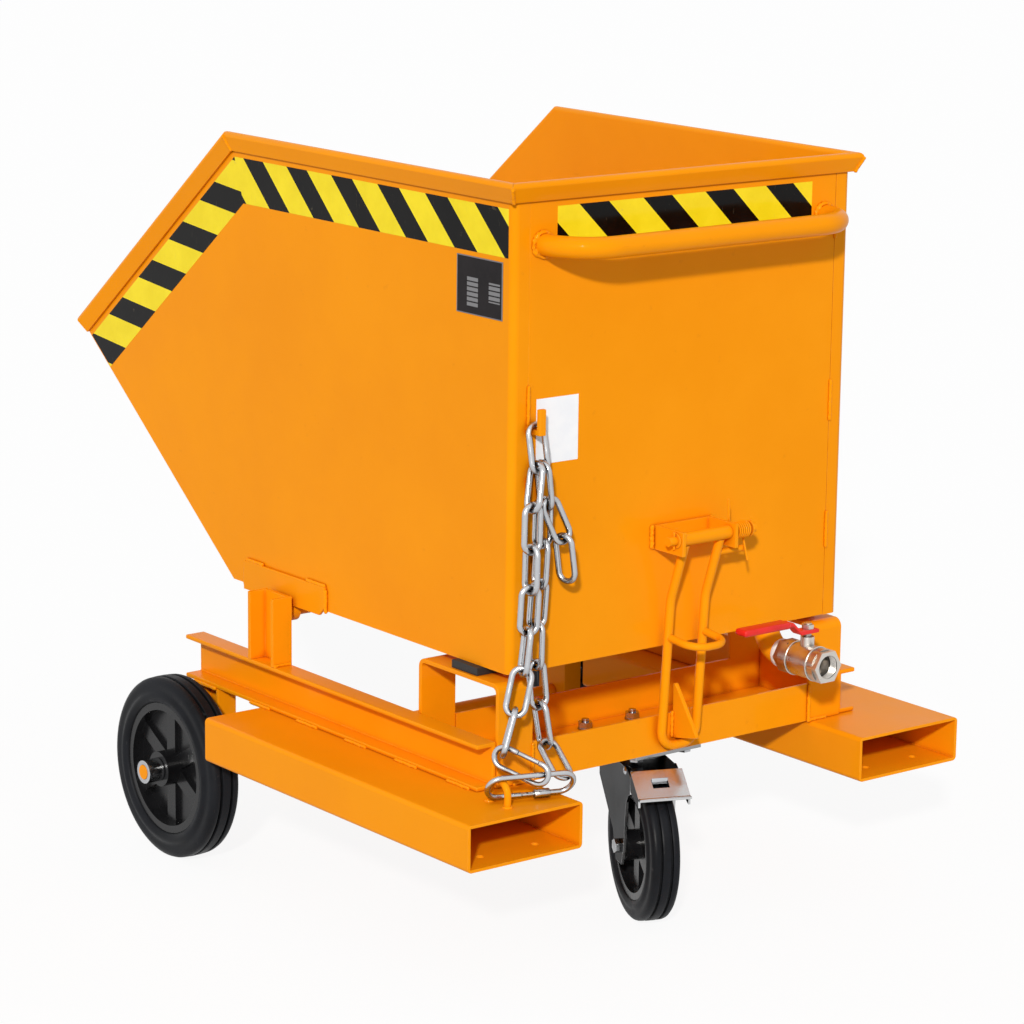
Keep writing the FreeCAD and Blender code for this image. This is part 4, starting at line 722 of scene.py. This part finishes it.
flat_plate("data_plate_printed", "data_plate", BACKWARD, -RIGHT, DATA_PLATE_WALL, "dark_plate")
flat_plate("plain_sticker_printed", "plain_sticker", RIGHT, BACKWARD, STICKER_WALL, "white_sticker")


# Weld beads: rows of overlapping drops, joined and melted together for each body
SMALL_BEAD = 2.4 * MM
BEAD = 2.8 * MM
LARGE_BEAD = 3.4 * MM
BEAD_LIFT = 1 * MM
BEAD_GAP = 3 * MM
BEAD_VOXEL = 0.95 * MM
BEAD_SHARP = 80
DROP_SPACING = 1.1
DROP_UNEVEN = 0.35
RING_UNEVEN = 0.45


def bead(start, end, radius):
    """A straight row of uneven drops, spaced by a share of their radius."""
    run = end - start
    count = max(2, round(run.length / (radius * DROP_SPACING)))
    deselect()
    bpy.ops.mesh.primitive_uv_sphere_add(segments=12, ring_count=8, radius=radius, location=start)
    drop = bpy.context.active_object
    bpy.ops.object.transform_apply(location=True, rotation=True, scale=True)
    apply_modifier(drop, "ARRAY", count=count, use_relative_offset=False, use_constant_offset=True,
                   constant_offset_displace=run / (count - 1))
    edit(drop)
    bpy.ops.transform.vertex_random(offset=radius * DROP_UNEVEN, uniform=0.05, normal=0.5, seed=count)
    leave_edit()
    return drop


def ring_bead(middle, axis, ring_radius, radius):
    """An uneven ring round a bar that stands on a sheet."""
    deselect()
    turn = UP.rotation_difference(axis).to_euler()
    bpy.ops.mesh.primitive_torus_add(location=middle, rotation=turn, major_segments=36, minor_segments=10,
                                     major_radius=ring_radius, minor_radius=radius)
    ring = bpy.context.active_object
    bpy.ops.object.transform_apply(location=True, rotation=True, scale=True)
    edit(ring)
    bpy.ops.transform.vertex_random(offset=radius * RING_UNEVEN, uniform=0.05, normal=0.6, seed=4)
    leave_edit()
    return ring


def upright_bead(across, forward, bottom, top, radius):
    return bead(Vector((across, forward, bottom)), Vector((across, forward, top)), radius)


def level_bead(across, rear, front, height, radius):
    return bead(Vector((across, rear, height)), Vector((across, front, height)), radius)


def cross_bead(left, right, forward, height, radius):
    return bead(Vector((left, forward, height)), Vector((right, forward, height)), radius)


def melt(beads, name, body):
    """Joins the beads of one body into a single skin."""
    deselect()
    for item in beads:
        item.select_set(True)
    bpy.context.view_layer.objects.active = beads[0]
    bpy.ops.object.join()
    piece = bpy.context.active_object
    apply_modifier(piece, "REMESH", mode="VOXEL", voxel_size=BEAD_VOXEL)
    apply_modifier(piece, "SMOOTH", factor=0.5, iterations=2)
    smooth(piece, BEAD_SHARP)
    hand_over(piece, name, body, "orange_paint")


# Welds on the skip: rear seams, handle, latch bracket, hook, straps, rim and drain
REAR_SEAM = SKIP_HALF - 0.025
SEAM_WELDS = {
    -1: [(0.600, 0.622), (0.690, 0.735)],
    1: [(0.470, 0.515), (0.640, 0.690), (0.880, 0.915)],
}
REAR_WELD = SKIP_REAR - BEAD_LIFT
DRAIN_REAR = -0.425
RIM_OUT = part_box("skip_side_right")[1].x - SKIP_HALF
RIM_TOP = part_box("skip_rear_panel")[1].z
RIM_FOOT = 4 * MM
RIM_WELD_CUT = 0.1
STRAP_WELD_RUN = 0.042


def strap_welds(side):
    low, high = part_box("pivot_strap_right")
    face = side * (SKIP_HALF + 2 * BEAD_LIFT)
    top = high.z + BEAD_LIFT
    return [
        level_bead(face, high.y - STRAP_WELD_RUN, high.y - 2 * BEAD_GAP, top, BEAD),
        level_bead(face, low.y + BEAD_GAP, low.y + STRAP_WELD_RUN, top, BEAD),
        upright_bead(face, low.y, CHUTE_FOOT.y, high.z - 2 * BEAD_GAP, BEAD),
        upright_bead(face, high.y, CHUTE_FOOT.y, high.z - 4 * BEAD_GAP, BEAD),
    ]


def rim_welds(side):
    """The mitres of the rim: at the rear corner and at the peak, from its foot to below its round top."""
    foot = Vector((side * (SKIP_HALF + RIM_FOOT), SKIP_REAR - RIM_FOOT, RIM_BOTTOM + BEAD_LIFT))
    crown = Vector((side * (SKIP_HALF + RIM_OUT), SKIP_REAR - RIM_OUT, RIM_TOP - 2 * BEAD_GAP))
    bend = Vector((0, math.tan(SLOPE / 2), 1))
    peak_foot = Vector((foot.x, PEAK.x, foot.z))
    peak_crown = Vector((crown.x, PEAK.x, RIM_BOTTOM)) + bend * (crown.z - RIM_BOTTOM)
    return [bead(foot, crown.lerp(foot, RIM_WELD_CUT), BEAD), bead(peak_foot, peak_crown, SMALL_BEAD)]


def skip_welds():
    bracket_low, bracket_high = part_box("latch_bracket")
    hook_low, hook_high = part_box("chain_hook")
    pipe = middle_of("drain_pipe")
    handle_low, handle_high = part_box("push_handle")
    handle_radius = (handle_high.z - handle_low.z) / 2
    pipe_radius = pipe.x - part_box("drain_pipe")[0].x
    beads = [ring_bead(Vector((pipe.x, DRAIN_REAR, CHUTE_FOOT.y)), UP, pipe_radius, BEAD)]
    for across in (bracket_low.x - BEAD_GAP, bracket_high.x + BEAD_GAP):
        beads.append(upright_bead(across, REAR_WELD, bracket_low.z + BEAD_GAP,
                                  bracket_high.z - BEAD_GAP, LARGE_BEAD))
    for across in (hook_low.x - BEAD_LIFT, hook_high.x + BEAD_LIFT):
        beads.append(upright_bead(across, REAR_WELD, hook_low.z + BEAD_LIFT,
                                  hook_low.z + 2 * BEAD_GAP, BEAD))
    for side, runs in SEAM_WELDS.items():
        beads += [upright_bead(side * REAR_SEAM, REAR_WELD, bottom, top, BEAD) for bottom, top in runs]
        handle_end = Vector((side * (handle_high.x - handle_radius), REAR_WELD, handle_low.z + handle_radius))
        beads.append(ring_bead(handle_end, FORWARD, handle_radius + BEAD_LIFT, LARGE_BEAD))
        beads += strap_welds(side) + rim_welds(side)
    return beads


melt(skip_welds(), "skip_weld_beads", "skip")


# Welds on the chassis: catch, lashing eye, posts, rear supports, axle brackets and channels
CHANNEL_WELDS = 5
CHANNEL_WELD_START = 0.016
CHANNEL_WELD_RUN = 0.042
CHANNEL_WELD_PITCH = 0.110
SUPPORT_WELD_TOP = 0.048
SUPPORT_WELD_LENGTH = 0.025
SUPPORT_WELD_WIDTH = 0.029


def side_welds(side):
    post_low, post_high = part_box("pivot_post_right")
    support_low, support_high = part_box("rear_support_right")
    channel_low, channel_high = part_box("frame_channel_right")
    bracket_low, bracket_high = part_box("axle_bracket_right")
    inner = side * (post_low.x + BEAD_GAP)
    outer = side * (post_high.x - BEAD_GAP)
    edge = side * (channel_high.x + BEAD_LIFT)
    on_pocket = channel_low.z + BEAD_LIFT
    on_channel = post_low.z + BEAD_LIFT
    beads = [cross_bead(inner, outer, forward, on_channel, BEAD) for forward in (post_low.y, post_high.y)]
    beads += [
        upright_bead(side * support_low.x, support_low.y, on_pocket, support_low.z + SUPPORT_WELD_TOP, BEAD),
        level_bead(side * support_high.x, support_low.y + BEAD_GAP, support_low.y + SUPPORT_WELD_LENGTH,
                   on_pocket, BEAD),
        cross_bead(side * (support_low.x + BEAD_GAP), side * (support_low.x + SUPPORT_WELD_WIDTH),
                   support_low.y, on_pocket, BEAD),
        level_bead(edge, bracket_low.y + 2 * BEAD_GAP, bracket_high.y - 2 * BEAD_GAP, bracket_high.z, BEAD),
    ]
    for index in range(CHANNEL_WELDS):
        rear = channel_low.y + CHANNEL_WELD_START + index * CHANNEL_WELD_PITCH
        beads.append(level_bead(edge, rear, rear + CHANNEL_WELD_RUN, on_pocket, BEAD))
    return beads


def chassis_welds():
    catch_low, catch_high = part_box("latch_catch")
    eye_low, eye_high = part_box("lashing_eye")
    eye_radius = (eye_high.x - eye_low.x) / 2
    eye_across = middle_of("lashing_eye").x
    member_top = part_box("castor_crossmember")[1].z
    beads = [upright_bead(across, catch_high.y - BEAD_LIFT, catch_low.z + BEAD_GAP, member_top, BEAD)
             for across in (catch_low.x - BEAD_LIFT, catch_high.x + BEAD_LIFT)]
    for forward in (eye_low.y + eye_radius, eye_high.y - eye_radius):
        beads.append(ring_bead(Vector((eye_across, forward, eye_low.z)), UP, eye_radius, SMALL_BEAD))
    return beads + side_welds(-1) + side_welds(1)


melt(chassis_welds(), "chassis_weld_beads", "chassis")


# Drain valve: thread tape, raised bands, thread in the outlet and the dipped lever grip
VALVE_BODY_RADIUS = 0.022
SOCKET_RADIUS = 0.0157
THREADS = 5
THREAD_START = 1.5 * MM
THREAD_PITCH = 0.0023
THREAD_DEPTH = 0.0011
SEAL_TAPE_LENGTH = 0.010
SEAL_TAPE_GAP = 0.5 * MM
SEAL_TAPE_SUNK = 0.2 * MM
SEAL_TAPE_RISE = 1.9 * MM
SEAL_TAPE_EASE = 1.2 * MM
BAND_PLACES = {"inner": 0.022, "outer": 0.061}
BAND_HALF = 2 * MM
BAND_SUNK = 1 * MM
BAND_RISE = 1.4 * MM
BAND_EASE = 0.8 * MM
LEVER_WALL = 0.005
GRIP_LENGTH = 0.075
GRIP_WALL = 0.002
GRIP_EASE = 3.6 * MM
valve_low, valve_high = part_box("valve_body")
VALVE_ACROSS = (valve_low.x + valve_high.x) / 2
VALVE_HEIGHT = valve_low.z + VALVE_BODY_RADIUS
VALVE_INLET = Vector((VALVE_ACROSS, valve_high.y, VALVE_HEIGHT))
VALVE_OUTLET = Vector((VALVE_ACROSS, valve_low.y, VALVE_HEIGHT))


def band(first, last, inner, outer, ease):
    """A ring's section from first to last along the axis, with eased outer corners."""
    return [(first, inner), (first, outer - ease), (first + ease, outer), (last - ease, outer),
            (last, outer - ease), (last, inner)]


def valve_ring(name, section, start, slot, coat=None):
    hand_over(turned(section, start, BACKWARD), name, "skip", slot, coat=coat)


PIPE_RADIUS = VALVE_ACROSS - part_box("drain_pipe")[0].x
TAPE_RING = band(-SEAL_TAPE_LENGTH, -SEAL_TAPE_GAP, PIPE_RADIUS - SEAL_TAPE_SUNK,
                 PIPE_RADIUS + SEAL_TAPE_RISE, SEAL_TAPE_EASE)
valve_ring("drain_seal_tape", TAPE_RING, VALVE_INLET, "white_sticker", "seal_tape")
for word, place in BAND_PLACES.items():
    ring = band(place - BAND_HALF, place + BAND_HALF, VALVE_BODY_RADIUS - BAND_SUNK,
                VALVE_BODY_RADIUS + BAND_RISE, BAND_EASE)
    valve_ring(f"valve_band_{word}", ring, VALVE_INLET, "nickel")
for index in range(THREADS):
    place = -THREAD_START - index * THREAD_PITCH
    ridge = [(place, SOCKET_RADIUS), (place - THREAD_PITCH / 2, SOCKET_RADIUS - THREAD_DEPTH),
             (place - THREAD_PITCH, SOCKET_RADIUS)]
    valve_ring(f"outlet_thread_{index + 1}", ridge, VALVE_OUTLET, "nickel")


def rounded_block(low, high, ease, segments=4):
    deselect()
    bpy.ops.mesh.primitive_cube_add(size=1, location=(low + high) / 2, scale=high - low)
    block = bpy.context.active_object
    bpy.ops.object.transform_apply(location=True, rotation=True, scale=True)
    apply_modifier(block, "BEVEL", width=ease, segments=segments, limit_method="NONE")
    smooth(block, ROUND_SHARP)
    return block


lever_low, lever_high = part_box("valve_lever")
skin = Vector((GRIP_WALL, GRIP_WALL, GRIP_WALL))
grip_low = Vector((lever_low.x, lever_low.y, lever_high.z - LEVER_WALL)) - skin
grip_high = Vector((lever_low.x + GRIP_LENGTH, lever_high.y, lever_high.z)) + skin
hand_over(rounded_block(grip_low, grip_high, GRIP_EASE), "lever_grip", "drain_lever", "red_lever")


# Carabiners: the screw sleeve on the large one
SLEEVE_ALONG = Vector((0.9497, -0.3136, 0))
SLEEVE_MIDDLE = Vector((-0.2700, -0.5142, 0.2399))
SLEEVE_HALF = 0.010
SLEEVE_BORE = 2.8 * MM
SLEEVE_RADIUS = 5.8 * MM
SLEEVE_EASE = 0.6 * MM
SMALL_STEPS = 24
sleeve_section = band(-SLEEVE_HALF, SLEEVE_HALF, SLEEVE_BORE, SLEEVE_RADIUS, SLEEVE_EASE)
sleeve = turned(sleeve_section, SLEEVE_MIDDLE, SLEEVE_ALONG, SMALL_STEPS)
hand_over(sleeve, "carabiner_screw_sleeve", "gate_right", "zinc")


# Castor: pin heads beside the pedal, its rolled lip and the tab over its slot, placed in the turned castor
PEDAL_HALF = 0.034
PEDAL_LIP = Vector((0, -0.1335, 0.1862))
PEDAL_LIP_CORE = 0.4 * MM
PEDAL_LIP_RADIUS = 2.4 * MM
PEDAL_LIP_EASE = 0.6 * MM
PEDAL_LIP_STEPS = 16
PEDAL_PIN = Vector((PEDAL_HALF, -0.070, 0.208))
TAB_LOW = Vector((-0.011, -0.109, 0.199))
TAB_HIGH = Vector((0.011, -0.1072, 0.207))
TAB_EASE = 0.7 * MM
PIN_HEAD = [(0, 0.4 * MM), (0, 5.2 * MM), (1.2 * MM, 4.6 * MM), (2.0 * MM, 2.8 * MM), (2.3 * MM, 0.4 * MM)]
swivel = middle_of("castor_top_plate")
CASTOR_PLACE = Matrix.Translation((swivel.x, swivel.y, 0)) @ Matrix.Rotation(CASTOR_TURN, 4, "Z")


def on_castor(piece, name, body):
    """Turns a piece that was made in the straight castor to where the castor stands."""
    piece.data.transform(CASTOR_PLACE)
    hand_over(piece, name, body, "zinc")


lip_section = band(-PEDAL_HALF, PEDAL_HALF, PEDAL_LIP_CORE, PEDAL_LIP_RADIUS, PEDAL_LIP_EASE)
lip = turned(lip_section, PEDAL_LIP, RIGHT, PEDAL_LIP_STEPS)
on_castor(lip, "pedal_lip", "castor_brake")
on_castor(rounded_block(TAB_LOW, TAB_HIGH, TAB_EASE, segments=2), "pedal_tab", "castor_brake")
for word, side in (("left", -1), ("right", 1)):
    place = Vector((side * PEDAL_PIN.x, PEDAL_PIN.y, PEDAL_PIN.z))
    on_castor(turned(PIN_HEAD, place, side * RIGHT, SMALL_STEPS), f"pedal_pin_head_{word}", "castor")


# Floor and light
FLOOR_SIZE = 80
PALE = (1, 1, 1, 1)
FLOOR_BOUNCE = (0.62, 0.62, 0.62, 1)
SKY_TINT = (0.93, 0.96, 1.0, 1)
SHADOW_SHARE = 0.10
FILL_STRENGTH = 0.52
KEY_STRENGTH = 2.6
KEY_WIDTH = math.radians(3.5)
KEY_TINT = (1.0, 0.97, 0.92)


def seen(tree):
    """1 for rays that show in the picture, straight or mirrored, and 0 for rays that light the object."""
    ray = add(tree, "LightPath").outputs
    return arithmetic(tree, "MAXIMUM", ray["Is Camera Ray"], ray["Is Glossy Ray"])


def mix_shaders(tree, amount, first, second):
    node = add(tree, "MixShader")
    for socket, value in zip(node.inputs, (amount, first, second)):
        feed(tree, socket, value)
    return node.outputs[0]


def pale_floor():
    """A white floor that keeps some shadow in the picture and throws a soft grey light back at the object."""
    material = bpy.data.materials.new("studio_floor_paint")
    material.use_nodes = True
    tree = material.node_tree
    tree.nodes.clear()
    glow = put(tree, add(tree, "Emission"), Color=PALE, Strength=1.0)
    shaded = put(tree, add(tree, "BsdfDiffuse"), Color=PALE)
    bounce = put(tree, add(tree, "BsdfDiffuse"), Color=FLOOR_BOUNCE)
    shown = mix_shaders(tree, SHADOW_SHARE, glow.outputs[0], shaded.outputs[0])
    put(tree, add(tree, "OutputMaterial"), Surface=mix_shaders(tree, seen(tree), bounce.outputs[0], shown))
    return material


def studio_world():
    world = bpy.data.worlds.new("studio")
    world.use_nodes = True
    tree = world.node_tree
    tree.nodes.clear()
    backdrop = put(tree, add(tree, "Background"), Color=PALE, Strength=1.0)
    fill = put(tree, add(tree, "Background"), Color=SKY_TINT, Strength=FILL_STRENGTH)
    shown = mix_shaders(tree, seen(tree), fill.outputs[0], backdrop.outputs[0])
    put(tree, add(tree, "OutputWorld"), Surface=shown)
    return world


deselect()
bpy.ops.mesh.primitive_plane_add(size=FLOOR_SIZE)
floor = bpy.context.active_object
floor.name = "studio_floor"
floor.data.materials.append(pale_floor())
bpy.context.scene.world = studio_world()

key = bpy.data.lights.new("key_lamp", "SUN")
key.energy = KEY_STRENGTH
key.angle = KEY_WIDTH
key.color = KEY_TINT
key_lamp = bpy.data.objects.new("key_lamp", key)
key_lamp.rotation_euler = KEY_FROM.to_track_quat("Z", "Y").to_euler()
bpy.context.scene.collection.objects.link(key_lamp)

# Camera at the photograph's viewing angle
CAMERA_PLACE = Vector((-2.9079, -3.8250, 1.5554))
CAMERA_ROUND = math.radians(-38.0)
CAMERA_DOWN = math.radians(12.8)
CAMERA_ROLL = math.radians(0.7)
CAMERA_LENS = 126.4
CAMERA_SENSOR = 36
camera = bpy.data.cameras.new("photo_camera")
camera.sensor_width = CAMERA_SENSOR
camera.lens = CAMERA_LENS
photo_camera = bpy.data.objects.new("photo_camera", camera)
bpy.context.scene.collection.objects.link(photo_camera)
back = Vector((math.sin(CAMERA_ROUND) * math.cos(CAMERA_DOWN),
               -math.cos(CAMERA_ROUND) * math.cos(CAMERA_DOWN),
               math.sin(CAMERA_DOWN)))
level = Vector((math.cos(CAMERA_ROUND), math.sin(CAMERA_ROUND), 0))
above = back.cross(level)
right = level * math.cos(CAMERA_ROLL) + above * math.sin(CAMERA_ROLL)
above = above * math.cos(CAMERA_ROLL) - level * math.sin(CAMERA_ROLL)
turn = Matrix((right, above, back)).transposed().to_4x4()
photo_camera.matrix_world = Matrix.Translation(CAMERA_PLACE) @ turn
bpy.context.scene.camera = photo_camera

bpy.context.scene.view_settings.view_transform = "Standard"
